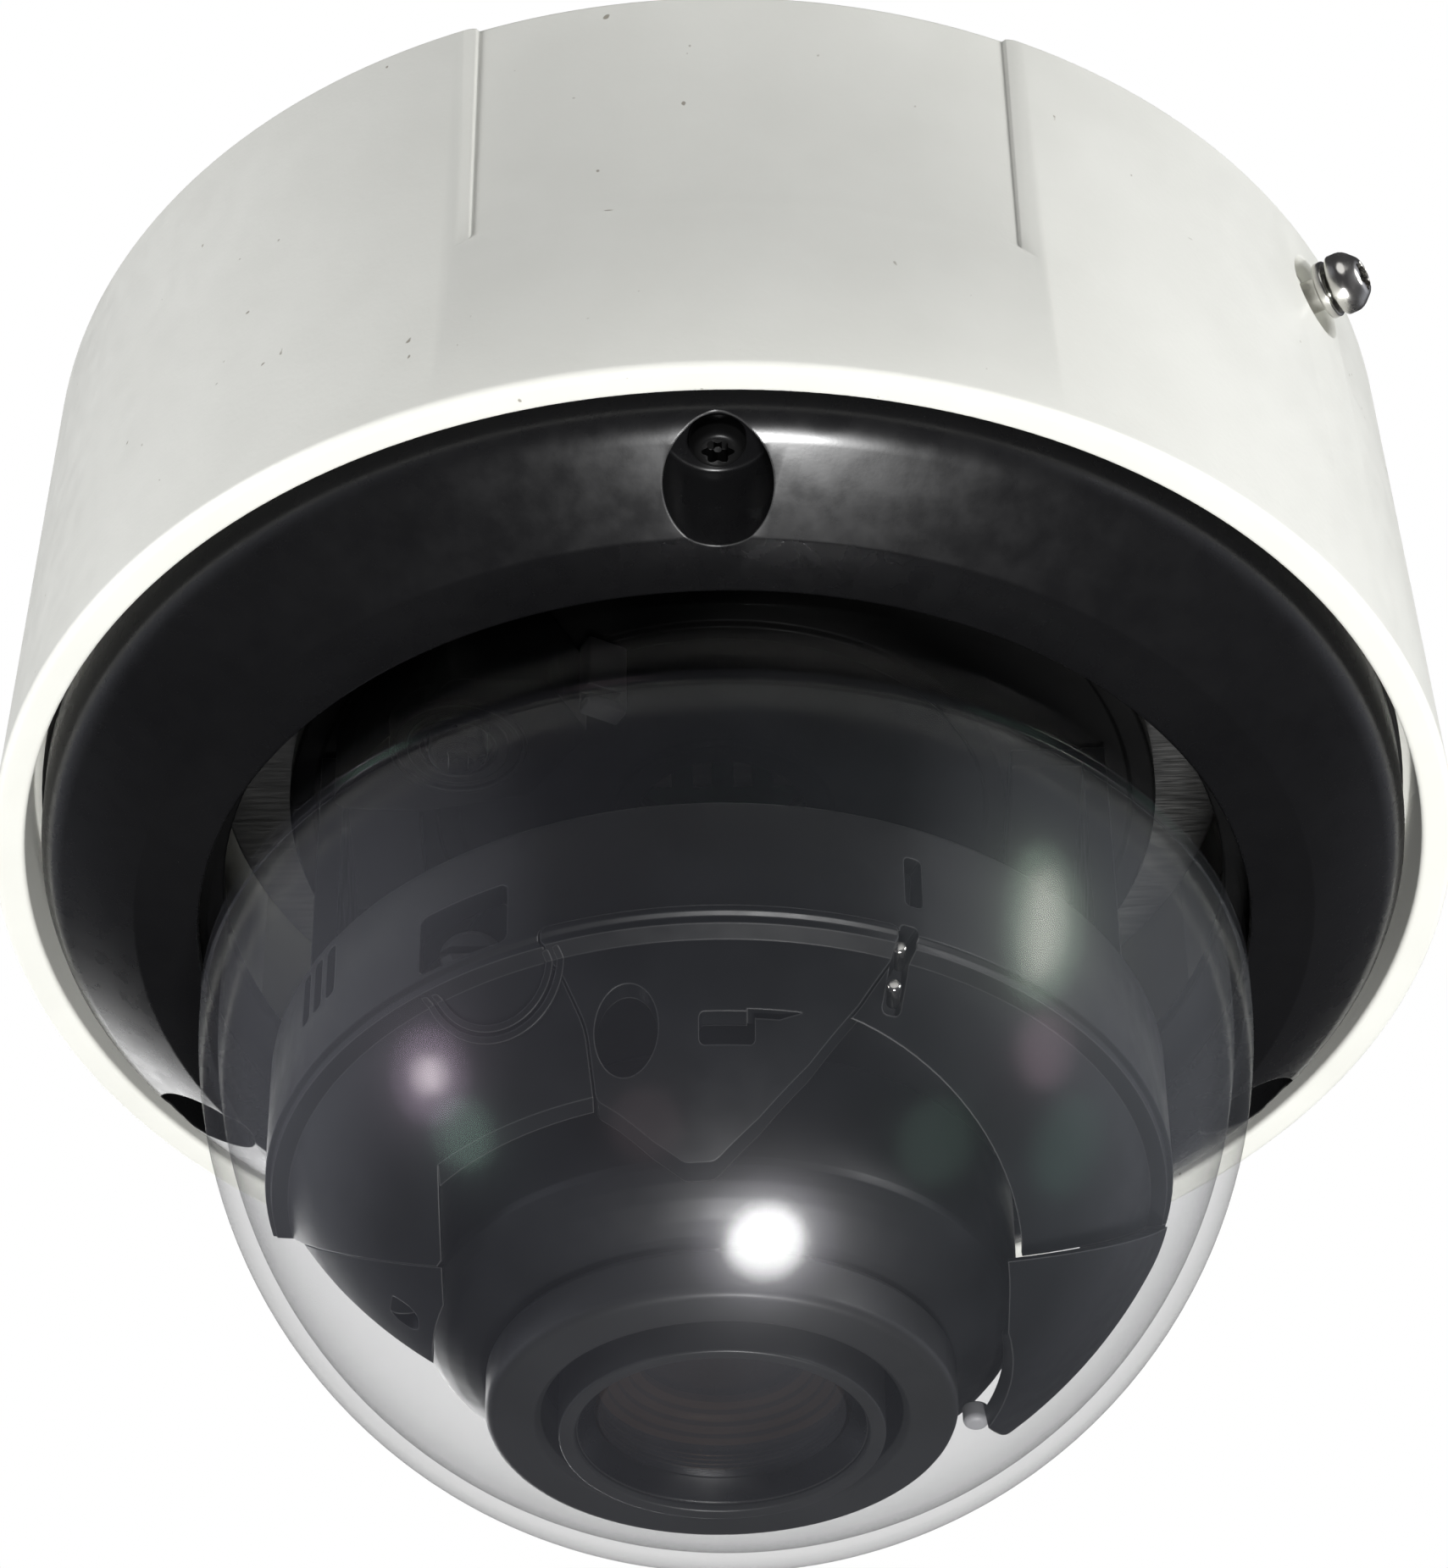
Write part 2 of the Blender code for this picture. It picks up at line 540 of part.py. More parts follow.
def shroud(pan):
    shell = shroud_blank("shroud_shell", SHELL, pan)
    combine(shell, heart_prism("heart_hole", GAP, pan))
    combine(shell, seam_block("seam_keep", 0.0, pan, below=True))
    cut_opening(shell, "shell", pan)
    combine(shell, block("lock_window", (-29.0, -60.0, -19.5), (-20.5, -30.0, -12.5), parent=pan))
    for side, name, far in ((-1, "shroud_wing_left", WING_FAR_Y[0]),
                            (1, "shroud_wing_right", WING_FAR_Y[1])):
        if side > 0:
            wing = shroud_blank(name, SHELL, pan, 0.0, WALL_R + HEAD_X, WING_R)
        else:
            wing = shroud_blank(name, SHELL, pan)
        combine(wing, seam_block(name + "_seam", -0.45, pan, below=False))
        cut_opening(wing, name, pan)
        middle = sorted((-side * 90.0, side * 20.0))
        combine(wing, block(name + "_half", (middle[0], -90, -90), (middle[1], 90, 90), parent=pan))
        combine(wing, block(name + "_far", (-90.0, far, -90.0), (90.0, 90.0, 90.0), parent=pan))
    plate = shroud_blank("shroud_centre_plate", SHELL, pan)
    combine(plate, heart_prism("heart_keep", 0.0, pan), "INTERSECT")
    facing = (math.pi / 2, 0, 0)
    hole = rod("oval_hole", 3.0, 10.0, 80.0, parent=pan, at=(-9.3, 0, -28.2), turn=facing)
    hole.scale = (1.0, 1.15, 1.0)
    combine(plate, hole)
    combine(plate, block("square_hole", (-2.5, -60.0, -29.9), (2.7, -20.0, -27.4), parent=pan))


def cut_opening(target, name, pan):
    """The gap the lens looks and tilts through: a rounded slot on the right, square on the left."""
    half = OPEN_X[1]
    ends = [(half * math.cos(math.radians(a)), OPEN_END_Y + half * math.sin(math.radians(a)))
            for a in range(0, -91, -10)]
    wing_end = [(half, 24.0), (27.8, 19.5), (26.3, 13.6), (24.8, 8.4), (23.7, 6.2), (23.4, 4.8),
                (23.9, 3.4), (27.8, -3.5), (half, -7.5)]
    outline = ends + [(0.0, 80.0), (half, 80.0)] + wing_end
    combine(target, outline_prism(name + "_slot_right", outline, -80.0, 40.0, parent=pan))
    left = OPEN_X[0]
    combine(target, block(name + "_slot_low", (left, -60.0, -80.0), (1.0, 1.0, APRON_Z), parent=pan))
    combine(target, block(name + "_slot_far", (left, 0.0, -80.0), (1.0, 80.0, 40.0), parent=pan))
    room = arc(COLLAR_ROOM_R, 90.0, 270.0, 12)
    combine(target, outline_prism(name + "_collar_room", room, -80.0, APRON_Z - 0.5, parent=pan))


# ---------------------------------------------------------------- tilting module

def module_parts(tilt):
    """Rear shell of the camera head on its two pivot pins; local -Z is the lens axis."""
    shell = turned("module_housing", [
        (0.0, 17.0), (17.0, 16.4), (24.5, 12.5), (MODULE_R, 6.0), (MODULE_R, -20.8),
        (MODULE_R - 2.0, -20.8), (MODULE_R - 2.0, 5.2), (23.0, 11.0), (16.4, 14.4), (0.0, 15.0),
    ], SHELL, parent=tilt, steps=COARSE)
    facing = (0, math.pi / 2, 0)
    arm_end = ARM_X + ARM_T
    for side, name in ((-1, "left"), (1, "right")):
        wall = sorted((side * (MODULE_R - 5.0), side * (MODULE_R + 5.0)))
        combine(shell, rod("pin_seat_" + name, 3.0, *wall, parent=tilt, turn=facing))
        shank = sorted((side * (MODULE_R - 1.9), side * (arm_end + 1.0)))
        pin = rod("tilt_pin_" + name, 2.95, *shank, DARK_STEEL, parent=tilt, turn=facing)
        shoulder = sorted((side * (MODULE_R + 0.5), side * (MODULE_R + 1.5)))
        combine(pin, rod("pin_shoulder_" + name, 4.6, *shoulder, parent=tilt, turn=facing), "UNION")
        head = sorted((side * (arm_end + 0.8), side * (arm_end + 2.4)))
        combine(pin, rod("pin_head_" + name, 4.6, *head, parent=tilt, turn=facing), "UNION")


def lens_parts(turn):
    """What turns about the lens axis, from the sensor board to the front glass."""
    turned("lens_collar", [
        (27.0, -21.1), (COLLAR_R - 0.5, -21.1), (COLLAR_R, -21.8), (COLLAR_R, -33.6),
        (COLLAR_R - 0.2, -34.4), (28.2, -35.6), (26.9, -36.8), (25.2, -38.0), (23.6, -38.8),
        (22.4, -39.2), (18.4, -39.2), (18.4, -37.6), (22.8, -37.3), (25.6, -35.6), (27.0, -33.6),
    ], SHELL, parent=turn, steps=36)
    turned("front_ring", [
        (RING_IN_R, -39.5), (22.5, -39.5), (RING_R, -40.2), (RING_R, -44.1), (RING_R - 0.7, -44.8),
        (18.3, RING_FACE), (RING_IN_R, -44.5),
    ], SHELL, parent=turn, steps=36)
    turned("lens_barrel", [
        (GLASS_R + 0.3, -8.0), (14.6, -8.0), (14.6, -38.0), (BARREL_R, -38.8),
        (BARREL_R, BARREL_FACE + 0.2), (BARREL_R - 0.3, BARREL_FACE), (BARREL_R - 1.4, BARREL_FACE),
        (13.2, -44.4), (GLASS_R + 0.3, -43.8),
    ], ALUMINIUM, parent=turn, steps=36)
    front = arc(25.4, -61.4, -90.0, 4, (0.0, BARREL_FACE - 0.4 + 25.4))
    front[-1] = (0.0, front[-1][1])
    turned("front_element", [(0.0, -40.6), (GLASS_R, -41.2)] + front, GLASS, parent=turn)
    turned("middle_element", [(0.0, -33.6), (10.0, -33.0), (GLASS_R, -33.0), (GLASS_R, -36.4),
                              (9.0, -36.0), (0.0, -35.4)], GLASS, parent=turn, steps=24)
    turned("iris_ring", [(5.0, -29.4), (GLASS_R, -29.4), (GLASS_R, -30.6), (5.0, -30.6)], BLACK,
           parent=turn, steps=24)
    turned("rear_element", [(0.0, -19.4), (GLASS_R, -20.4), (GLASS_R, -23.4), (0.0, -24.6)],
           GLASS, parent=turn, steps=24)
    turned("ir_filter", [(0.0, -10.4), (GLASS_R, -10.4), (GLASS_R, -11.4), (0.0, -11.4)],
           GLASS, parent=turn, steps=24)
    turned("lens_mount", [(9.0, -0.4), (18.0, -0.4), (18.0, -3.0), (16.0, -7.7), (9.0, -7.7)],
           PLASTIC, parent=turn, steps=24)
    rod("sensor_board", 21.0, 0.0, 1.6, BOARD, parent=turn, steps=24)
    block("image_sensor", (-5.0, -4.0, -1.5), (5.0, 4.0, -GAP), PLASTIC, parent=turn)


def tilt_lock(pan):
    """Slotted lock screw behind the window in the shroud, on a bent plate from the yoke."""
    outline = [(-38.0, -11.4), (-39.6, -11.3), (-27.6, -30.5), (-20.6, -30.5), (-20.6, -28.8),
               (-26.7, -28.8)]
    outline_prism("tilt_lock_bracket", outline, -19.0, -13.0, STEEL, parent=pan)
    axis = pivot("tilt_lock_axis", (-24.2, 0, -16.2), pan, (math.pi / 2, 0, 0))
    knob = rod("tilt_lock_screw", 3.0, 30.8, 35.4, PLASTIC, parent=axis, steps=24)
    combine(knob, block("lock_slot", (-4.0, -0.5, 34.6), (4.0, 0.5, 38.0), parent=axis))


def main():
    mounting_plate()
    outer_housing()
    side_screw()
    cable_grommet()
    cover_seal()
    bezel_ring()
    bezel_screws()
    dome_bubble()
    dome_clamp()
    main_board()
    heat_sink()
    connectors()
    memory()
    reset_parts()
    gimbal_base()
    pan = pivot("pan_axis", (0, 0, PIVOT_Z))
    pan_parts(pan)
    shroud(pan)
    tilt_lock(pan)
    tilt = pivot("tilt_axis", (HEAD_X, 0, 0), pan, (REST_TILT, 0, 0))
    module_parts(tilt)
    turn = pivot("lens_axis", (0, 0, 0), tilt)
    lens_parts(turn)


main()
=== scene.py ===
"""Looks of the dome camera: fine meshes, materials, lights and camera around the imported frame.

Shapes are written in millimetres in the frame's own axes (+Z up into the ceiling, the camera
hangs below) and turned into metres as each mesh is made. The gimbal's pieces are drawn from its
pivot, and the lens's from the pivot along its own axis.
"""
import json
import math

import bmesh
import bpy
from mathutils import Matrix, Vector

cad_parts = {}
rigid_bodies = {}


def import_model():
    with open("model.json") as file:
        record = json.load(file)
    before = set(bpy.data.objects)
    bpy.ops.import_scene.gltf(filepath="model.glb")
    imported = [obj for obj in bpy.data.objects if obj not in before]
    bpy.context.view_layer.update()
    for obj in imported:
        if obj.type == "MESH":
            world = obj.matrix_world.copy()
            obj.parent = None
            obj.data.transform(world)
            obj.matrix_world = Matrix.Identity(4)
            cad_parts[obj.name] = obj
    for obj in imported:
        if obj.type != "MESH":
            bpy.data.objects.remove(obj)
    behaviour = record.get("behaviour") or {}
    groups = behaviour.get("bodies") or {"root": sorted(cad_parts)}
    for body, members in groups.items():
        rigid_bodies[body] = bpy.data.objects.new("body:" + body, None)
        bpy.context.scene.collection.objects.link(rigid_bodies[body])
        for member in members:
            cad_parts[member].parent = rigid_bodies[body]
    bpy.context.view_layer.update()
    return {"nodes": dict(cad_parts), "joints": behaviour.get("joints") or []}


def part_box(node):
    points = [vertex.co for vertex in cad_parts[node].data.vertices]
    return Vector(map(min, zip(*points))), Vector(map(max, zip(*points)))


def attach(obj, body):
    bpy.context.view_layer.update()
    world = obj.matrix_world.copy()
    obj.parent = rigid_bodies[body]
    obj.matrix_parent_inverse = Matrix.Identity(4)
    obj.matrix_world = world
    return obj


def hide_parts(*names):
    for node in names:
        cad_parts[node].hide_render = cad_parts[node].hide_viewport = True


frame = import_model()

MM = 0.001
JOINTS = {joint["name"]: joint for joint in frame["joints"]}


def low(node):
    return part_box(node)[0] / MM


def high(node):
    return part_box(node)[1] / MM


# Driving sizes, read from the frame
RIM_R = high("outer_housing").x
RIM_Z = low("outer_housing").z
MOUNT_R = RIM_R - 2.8
BEZEL_R = high("bezel_ring").x
BEZEL_LOW = low("bezel_ring").z
DOME_LOW = low("dome_bubble").z
PIVOT_Z = JOINTS["pan"]["pos_m"][2] / MM
DOME_R = PIVOT_Z - DOME_LOW
SIDE_OUT = Vector(JOINTS["side_screw_travel"]["axis"])
LENS_AXIS = Vector(JOINTS["lens_turn"]["axis"])
POCKET_AT = 65.6
POCKET_ANGLES = (270.0, 30.0, 150.0)
POCKET_ROOF = RIM_Z + 2.2
BOSS_AT = 40.0
BOSS_ANGLES = (0, 120, 240)
PLATE_HOLES_AT = 50.0
PLATE_HOLE_ANGLES = (20, 140, 260)
POSTS_AT = 50.5
POST_ANGLES = (90, 210, 330)
ROUND = 160
FINE_ROUND = 192
FINEST_ROUND = 224

WORLD = Matrix.Identity(4)
PAN = Matrix.Translation((0, 0, PIVOT_Z))
HEAD_X = JOINTS["tilt"]["pos_m"][0] / MM
HEAD = PAN @ Matrix.Translation((HEAD_X, 0, 0))
LENS = HEAD @ (-LENS_AXIS).to_track_quat("Z", "Y").to_matrix().to_4x4()
SIDE = Matrix.Translation((0, 0, (low("side_screw").z + high("side_screw").z) / 2)) @ (
    SIDE_OUT.to_track_quat("Z", "Y").to_matrix().to_4x4())


# ---------------------------------------------------------------- camera

CAMERA_AT = (0.0, -0.4109, -0.3999)
CAMERA_PITCH, CAMERA_YAW, CAMERA_ROLL = 0.7149, 0.0003, -0.0143
CAMERA_LENS = 116.7


def make_camera():
    """Below and in front of the dome, looking up at it."""
    pitch, yaw, roll = CAMERA_PITCH, CAMERA_YAW, CAMERA_ROLL
    ahead = Vector((math.sin(yaw), math.cos(yaw) * math.cos(pitch), math.cos(yaw) * math.sin(pitch)))
    right = ahead.cross(Vector((0, 0, 1))).normalized()
    up = right.cross(ahead)
    side = math.cos(roll) * right + math.sin(roll) * up
    top = -math.sin(roll) * right + math.cos(roll) * up
    data = bpy.data.cameras.new("camera")
    data.sensor_width = 36.0
    data.lens = CAMERA_LENS
    data.clip_start = 0.01
    camera = bpy.data.objects.new("camera", data)
    bpy.context.scene.collection.objects.link(camera)
    turn = Matrix((side, top, -ahead)).transposed().to_4x4()
    camera.matrix_world = Matrix.Translation(CAMERA_AT) @ turn
    bpy.context.scene.camera = camera


# ---------------------------------------------------------------- outlines

def filleted(corners, closed=False):
    """Corners (a, b) or (a, b, radius), with each radius turned into an arc."""
    made = []
    count = len(corners)
    for i, corner in enumerate(corners):
        here = Vector(corner[:2])
        radius = corner[2] if len(corner) > 2 else 0.0
        if not radius or (not closed and i in (0, count - 1)):
            made.append(tuple(here))
            continue
        back = (Vector(corners[i - 1][:2]) - here).normalized()
        on = (Vector(corners[(i + 1) % count][:2]) - here).normalized()
        half = back.angle(on) / 2
        reach = radius / math.tan(half)
        middle = here + (back + on).normalized() * (radius / math.sin(half))
        start, end = here + back * reach - middle, here + on * reach - middle
        sweep = start.angle_signed(end)
        steps = max(2, math.ceil(abs(sweep) / math.radians(15)))
        for k in range(steps + 1):
            angle = -sweep * k / steps
            c, s = math.cos(angle), math.sin(angle)
            made.append((middle.x + c * start.x - s * start.y, middle.y + s * start.x + c * start.y))
    return made


def arc(radius, start, end, count, centre=(0.0, 0.0)):
    """Points on an arc, with its angles in degrees."""
    points = []
    for i in range(count + 1):
        angle = math.radians(start + (end - start) * i / count)
        points.append((centre[0] + radius * math.cos(angle), centre[1] + radius * math.sin(angle)))
    return points


def rectangle(left, right, top, bottom, edge=0.3):
    """A closed rectangle with rounded corners, such as a flat ring's section."""
    return filleted([(left, top, edge), (right, top, edge), (right, bottom, edge),
                     (left, bottom, edge)], closed=True)


def star(tip, root, lobes=6):
    """The outline of a lobed socket, between its tip and root radii."""
    middle, swing = (tip + root) / 2, (tip - root) / 2
    return [((middle + swing * math.cos(lobes * a)) * math.cos(a),
             (middle + swing * math.cos(lobes * a)) * math.sin(a))
            for a in (math.radians(5 * i) for i in range(72))]


def around(radius, degrees, z=0.0):
    """The point at this radius and azimuth about the middle axis."""
    angle = math.radians(degrees)
    return (radius * math.cos(angle), radius * math.sin(angle), z)


def at(x, y, z=0.0):
    return Matrix.Translation((x, y, z))


# ---------------------------------------------------------------- meshes

def made_of(name, shape, place):
    """An object of the bmesh, with its millimetres placed and turned into metres."""
    bmesh.ops.recalc_face_normals(shape, faces=shape.faces)
    bmesh.ops.transform(shape, matrix=Matrix.Scale(MM, 4) @ place, verts=shape.verts)
    mesh = bpy.data.meshes.new(name)
    shape.to_mesh(mesh)
    shape.free()
    thing = bpy.data.objects.new(name, mesh)
    bpy.context.scene.collection.objects.link(thing)
    return thing


def turned(name, outline, place=WORLD, steps=ROUND):
    """A body of revolution about local Z from an outline of (radius, z)."""
    shape = bmesh.new()
    points = [shape.verts.new((r, 0.0, z)) for r, z in outline]
    edges = [shape.edges.new(pair) for pair in zip(points, points[1:])]
    if outline[0][0] > 0 or outline[-1][0] > 0:
        edges.append(shape.edges.new((points[-1], points[0])))
    bmesh.ops.spin(shape, geom=points + edges, axis=(0, 0, 1), cent=(0, 0, 0),
                   angle=math.tau, steps=steps, use_merge=True, use_duplicate=False)
    bmesh.ops.remove_doubles(shape, verts=shape.verts, dist=1e-4)
    return made_of(name, shape, place)


def prism(name, outline, bottom, top, place=WORLD, taper=0.0):
    """An outline drawn out along local Z; taper grows its top end outwards."""
    shape = bmesh.new()
    middle = sum((Vector(p) for p in outline), Vector((0, 0))) / len(outline)
    rings = []
    for z, grow in ((bottom, 0.0), (top, taper)):
        ring = []
        for p in outline:
            away = Vector(p) - middle
            away = Vector(p) + away.normalized() * grow
            ring.append(shape.verts.new((away.x, away.y, z)))
        rings.append(ring)
    shape.faces.new(rings[0])
    shape.faces.new(rings[1])
    count = len(outline)
    for i in range(count):
        j = (i + 1) % count
        shape.faces.new((rings[0][i], rings[0][j], rings[1][j], rings[1][i]))
    return made_of(name, shape, place)


def rod(name, radius, bottom, top, place=WORLD, steps=48):
    """A round bar or bore along local Z."""
    return prism(name, arc(radius, 0, 360, steps)[:-1], bottom, top, place)


def block(name, least, most, place=WORLD, edge=0.0):
    """A box between two corners, with rounded edges."""
    shape = bmesh.new()
    bmesh.ops.create_cube(shape, size=1.0)
    size = [b - a for a, b in zip(least, most)]
    bmesh.ops.scale(shape, verts=shape.verts, vec=size)
    bmesh.ops.translate(shape, verts=shape.verts, vec=[(a + b) / 2 for a, b in zip(least, most)])
    if edge:
        bmesh.ops.bevel(shape, geom=shape.edges[:], offset=edge, segments=3, profile=0.5,
                        affect="EDGES", clamp_overlap=True)
    return made_of(name, shape, place)


def change(target, operation, tools):
    """Applies one boolean per tool to the target, and removes the tools."""
    for tool in tools:
        step = target.modifiers.new(tool.name, "BOOLEAN")
        step.operation = operation
        step.object = tool
        step.solver = "EXACT"
    bpy.context.view_layer.update()
    shaped = target.evaluated_get(bpy.context.evaluated_depsgraph_get())
    mesh = bpy.data.meshes.new_from_object(shaped)
    target.modifiers.clear()
    target.data = mesh
    for tool in tools:
        bpy.data.objects.remove(tool)
    return target


def cut(target, *tools):
    return change(target, "DIFFERENCE", tools)


def join(target, *tools):
    return change(target, "UNION", tools)


def keep(target, *tools):
    return change(target, "INTERSECT", tools)


def fit(thing, body, slot, paint, *nodes, sharp=28.0):
    """Smooths the piece, paints it and puts it on its CAD body in place of these nodes."""
    mesh = thing.data
    mesh.materials.clear()
    mesh.materials.append(paint)
    mesh.polygons.foreach_set("material_index", [0] * len(mesh.polygons))
    mesh.shade_smooth()
    mesh.set_sharp_from_angle(angle=math.radians(sharp))
    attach(thing, body)
    if nodes:
        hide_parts(*nodes)
    return thing


# ---------------------------------------------------------------- materials

def put(tree, value, socket):
    """Sets a socket to a number or colour, or links another node's output to it."""
    if isinstance(value, bpy.types.NodeSocket):
        tree.links.new(value, socket)
    else:
        socket.default_value = value


def calculated(tree, operation, *values):
    node = tree.nodes.new("ShaderNodeMath")
    node.operation = operation
    for value, socket in zip(values, node.inputs):
        put(tree, value, socket)
    return node.outputs["Value"]


def mapped(tree, value, start, end, to_start=0.0, to_end=1.0):
    """The value's place between start and end, taken to the other span."""
    node = tree.nodes.new("ShaderNodeMapRange")
    for label, bound in (("From Min", start), ("From Max", end), ("To Min", to_start), ("To Max", to_end)):
        node.inputs[label].default_value = bound
    put(tree, value, node.inputs["Value"])
    return node.outputs["Result"]


def ramped(tree, value, *stops):
    """A colour ramp with two stops of (position, colour)."""
    node = tree.nodes.new("ShaderNodeValToRGB")
    for element, (position, colour) in zip(node.color_ramp.elements, stops):
        element.position = position
        element.color = (*colour, 1)
    put(tree, value, node.inputs["Fac"])
    return node.outputs["Color"]


def mixed(tree, factor, first, second, blend="MIX"):
    """Two colours mixed."""
    node = tree.nodes.new("ShaderNodeMix")
    node.data_type = "RGBA"
    node.blend_type = blend
    for value, label in ((factor, "Factor"), (first, "A"), (second, "B")):
        put(tree, value, node.inputs[label])
    return node.outputs["Result"]


def mixed_shader(tree, factor, first, second):
    node = tree.nodes.new("ShaderNodeMixShader")
    for value, socket in zip((factor, first, second), node.inputs):
        put(tree, value, socket)
    return node.outputs["Shader"]


def noise(tree, vector, scale, detail):
    node = tree.nodes.new("ShaderNodeTexNoise")
    node.inputs["Scale"].default_value = scale
    node.inputs["Detail"].default_value = detail
    tree.links.new(vector, node.inputs["Vector"])
    return node.outputs["Fac"]


def new_tree(name):
    made = bpy.data.materials.new(name)
    made.use_nodes = True
    return made, made.node_tree


NOISE_SPAN = (0.3, 0.7)
SPECK_SCALE = 620.0
SPECK_COLOUR = (0.45, 0.42, 0.38)
# Span of the bevel-normal mask that paints an edge highlight.
EDGE_HIGHLIGHT_SPAN = (0.985, 0.90)


def surface(name, dark, light, rough, metallic=0.0, patch=70.0, grain=1600.0, depth=0.01,
            edge=0.2, stretch=(1, 1, 1), specks=0.0, painted_edge_highlight=0.0):
    """A Principled material with mottled colour, uneven gloss, a fine grain and softened edges.

    Its last argument paints an edge highlight: where it is above nothing, edges are lightened towards a
    pale grey of this brightness.
    """
    made, tree = new_tree(name)
    shader = tree.nodes["Principled BSDF"]
    shader.inputs["Metallic"].default_value = metallic
    place = tree.nodes.new("ShaderNodeTexCoord")
    mapping = tree.nodes.new("ShaderNodeMapping")
    mapping.inputs["Scale"].default_value = stretch
    tree.links.new(place.outputs["Object"], mapping.inputs["Vector"])
    vector = mapping.outputs["Vector"]

    low_end, high_end = NOISE_SPAN
    colour = ramped(tree, noise(tree, vector, patch, 4.0), (low_end, dark), (high_end, light))
    if specks:
        dots = ramped(tree, noise(tree, vector, SPECK_SCALE, 1.0), (specks, (1, 1, 1)),
                      (specks + 0.03, SPECK_COLOUR))
        colour = mixed(tree, 1.0, colour, dots, "MULTIPLY")
    soft = tree.nodes.new("ShaderNodeBevel")
    soft.samples = 6
    soft.inputs["Radius"].default_value = edge * MM
    # Painted edge highlight: the bevel-normal mask lightens edges towards a pale grey, standing in for
    # light caught by rounded edges.
    if painted_edge_highlight:
        shape = tree.nodes.new("ShaderNodeNewGeometry")
        along = tree.nodes.new("ShaderNodeVectorMath")
        along.operation = "DOT_PRODUCT"
        tree.links.new(soft.outputs["Normal"], along.inputs[0])
        tree.links.new(shape.outputs["Normal"], along.inputs[1])
        edge_highlight_mask = mapped(tree, along.outputs["Value"], *EDGE_HIGHLIGHT_SPAN)
        colour = mixed(tree, edge_highlight_mask, colour, (painted_edge_highlight, painted_edge_highlight, painted_edge_highlight, 1))
    tree.links.new(colour, shader.inputs["Base Color"])
    tree.links.new(mapped(tree, noise(tree, vector, patch * 5, 3.0), *NOISE_SPAN, *rough),
                   shader.inputs["Roughness"])
    bump = tree.nodes.new("ShaderNodeBump")
    bump.inputs["Strength"].default_value = 1.0
    bump.inputs["Distance"].default_value = depth * MM
    tree.links.new(noise(tree, vector, grain, 2.0), bump.inputs["Height"])
    tree.links.new(soft.outputs["Normal"], bump.inputs["Normal"])
    tree.links.new(bump.outputs["Normal"], shader.inputs["Normal"])
    return made


MILK_COLOUR = (0.72, 0.76, 0.88)
WIDE_LOBE = 2.6
WIDE_SHARE = 0.45
SLANT_MIRROR = 0.45
CLEAN_MIRROR = 0.3


def clear_plastic(name, tint, haze, mirror, gloss=0.02, clean_above=None):
    """Thin clear plastic: it passes light straight on, mirrors more at a slant, and is a bit milky.

    Its gloss has a tight and a wide lobe. Above the level clean_above, in metres, it isn't milky,
    has no wide lobe and mirrors less.
    """
    made, tree = new_tree(name)
    tree.nodes.remove(tree.nodes["Principled BSDF"])
    clear = tree.nodes.new("ShaderNodeBsdfTransparent")
    clear.inputs["Color"].default_value = (*tint, 1)
    milk = tree.nodes.new("ShaderNodeBsdfDiffuse")
    milk.inputs["Color"].default_value = (*MILK_COLOUR, 1)
    shine = tree.nodes.new("ShaderNodeMixShader")
    shine.inputs["Fac"].default_value = WIDE_SHARE
    for socket, rough in ((1, gloss), (2, gloss * WIDE_LOBE)):
        lobe = tree.nodes.new("ShaderNodeBsdfGlossy")
        lobe.inputs["Roughness"].default_value = rough
        tree.links.new(lobe.outputs["BSDF"], shine.inputs[socket])
    place = tree.nodes.new("ShaderNodeTexCoord").outputs["Object"]
    milky = mapped(tree, noise(tree, place, 90.0, 6.0), *NOISE_SPAN, haze * 0.75, haze * 1.25)
    if clean_above is not None:
        split = tree.nodes.new("ShaderNodeSeparateXYZ")
        tree.links.new(place, split.inputs["Vector"])
        level = mapped(tree, split.outputs["Z"], clean_above, clean_above - 0.001)
        milky = calculated(tree, "MULTIPLY", milky, level)
        put(tree, calculated(tree, "MULTIPLY", level, WIDE_SHARE), shine.inputs["Fac"])
    body = mixed_shader(tree, milky, clear.outputs["BSDF"], milk.outputs["BSDF"])
    slant = tree.nodes.new("ShaderNodeLayerWeight")
    slant.inputs["Blend"].default_value = 0.5
    power = calculated(tree, "POWER", slant.outputs["Facing"], 5.0)
    mirrored = calculated(tree, "MULTIPLY_ADD", power, SLANT_MIRROR, mirror)
    if clean_above is not None:
        mirrored = calculated(tree, "MULTIPLY", mirrored, mapped(tree, level, 0.0, 1.0, CLEAN_MIRROR))
    whole = mixed_shader(tree, mirrored, body, shine.outputs["Shader"])
    tree.links.new(whole, tree.nodes["Material Output"].inputs["Surface"])
    return made


WHITE = surface("white_paint", (0.76, 0.76, 0.705), (0.80, 0.80, 0.745), (0.40, 0.52), grain=1400.0,
                depth=0.02, edge=0.3, specks=0.79)
# The last value on BLACK, SHELL, COLLAR, NOSE and ALLOY lightens their edges: a painted edge highlight.
BLACK = surface("black_satin", (0.0045, 0.0045, 0.005), (0.0065, 0.0065, 0.007), (0.24, 0.32),
                grain=2600.0, depth=0.002, edge=0.25, painted_edge_highlight=0.05)
SHELL = surface("black_shell", (0.012, 0.013, 0.014), (0.017, 0.018, 0.019), (0.30, 0.40),
                grain=2600.0, depth=0.002, edge=0.22, painted_edge_highlight=0.16)
INNER = surface("black_inner", (0.003, 0.003, 0.003), (0.005, 0.005, 0.005), (0.50, 0.62),
                grain=2600.0, depth=0.003, edge=0.2)
BAFFLE = surface("lens_baffle", (0.045, 0.036, 0.028), (0.070, 0.056, 0.045), (0.30, 0.40),
                 grain=2600.0, depth=0.002, edge=0.08)
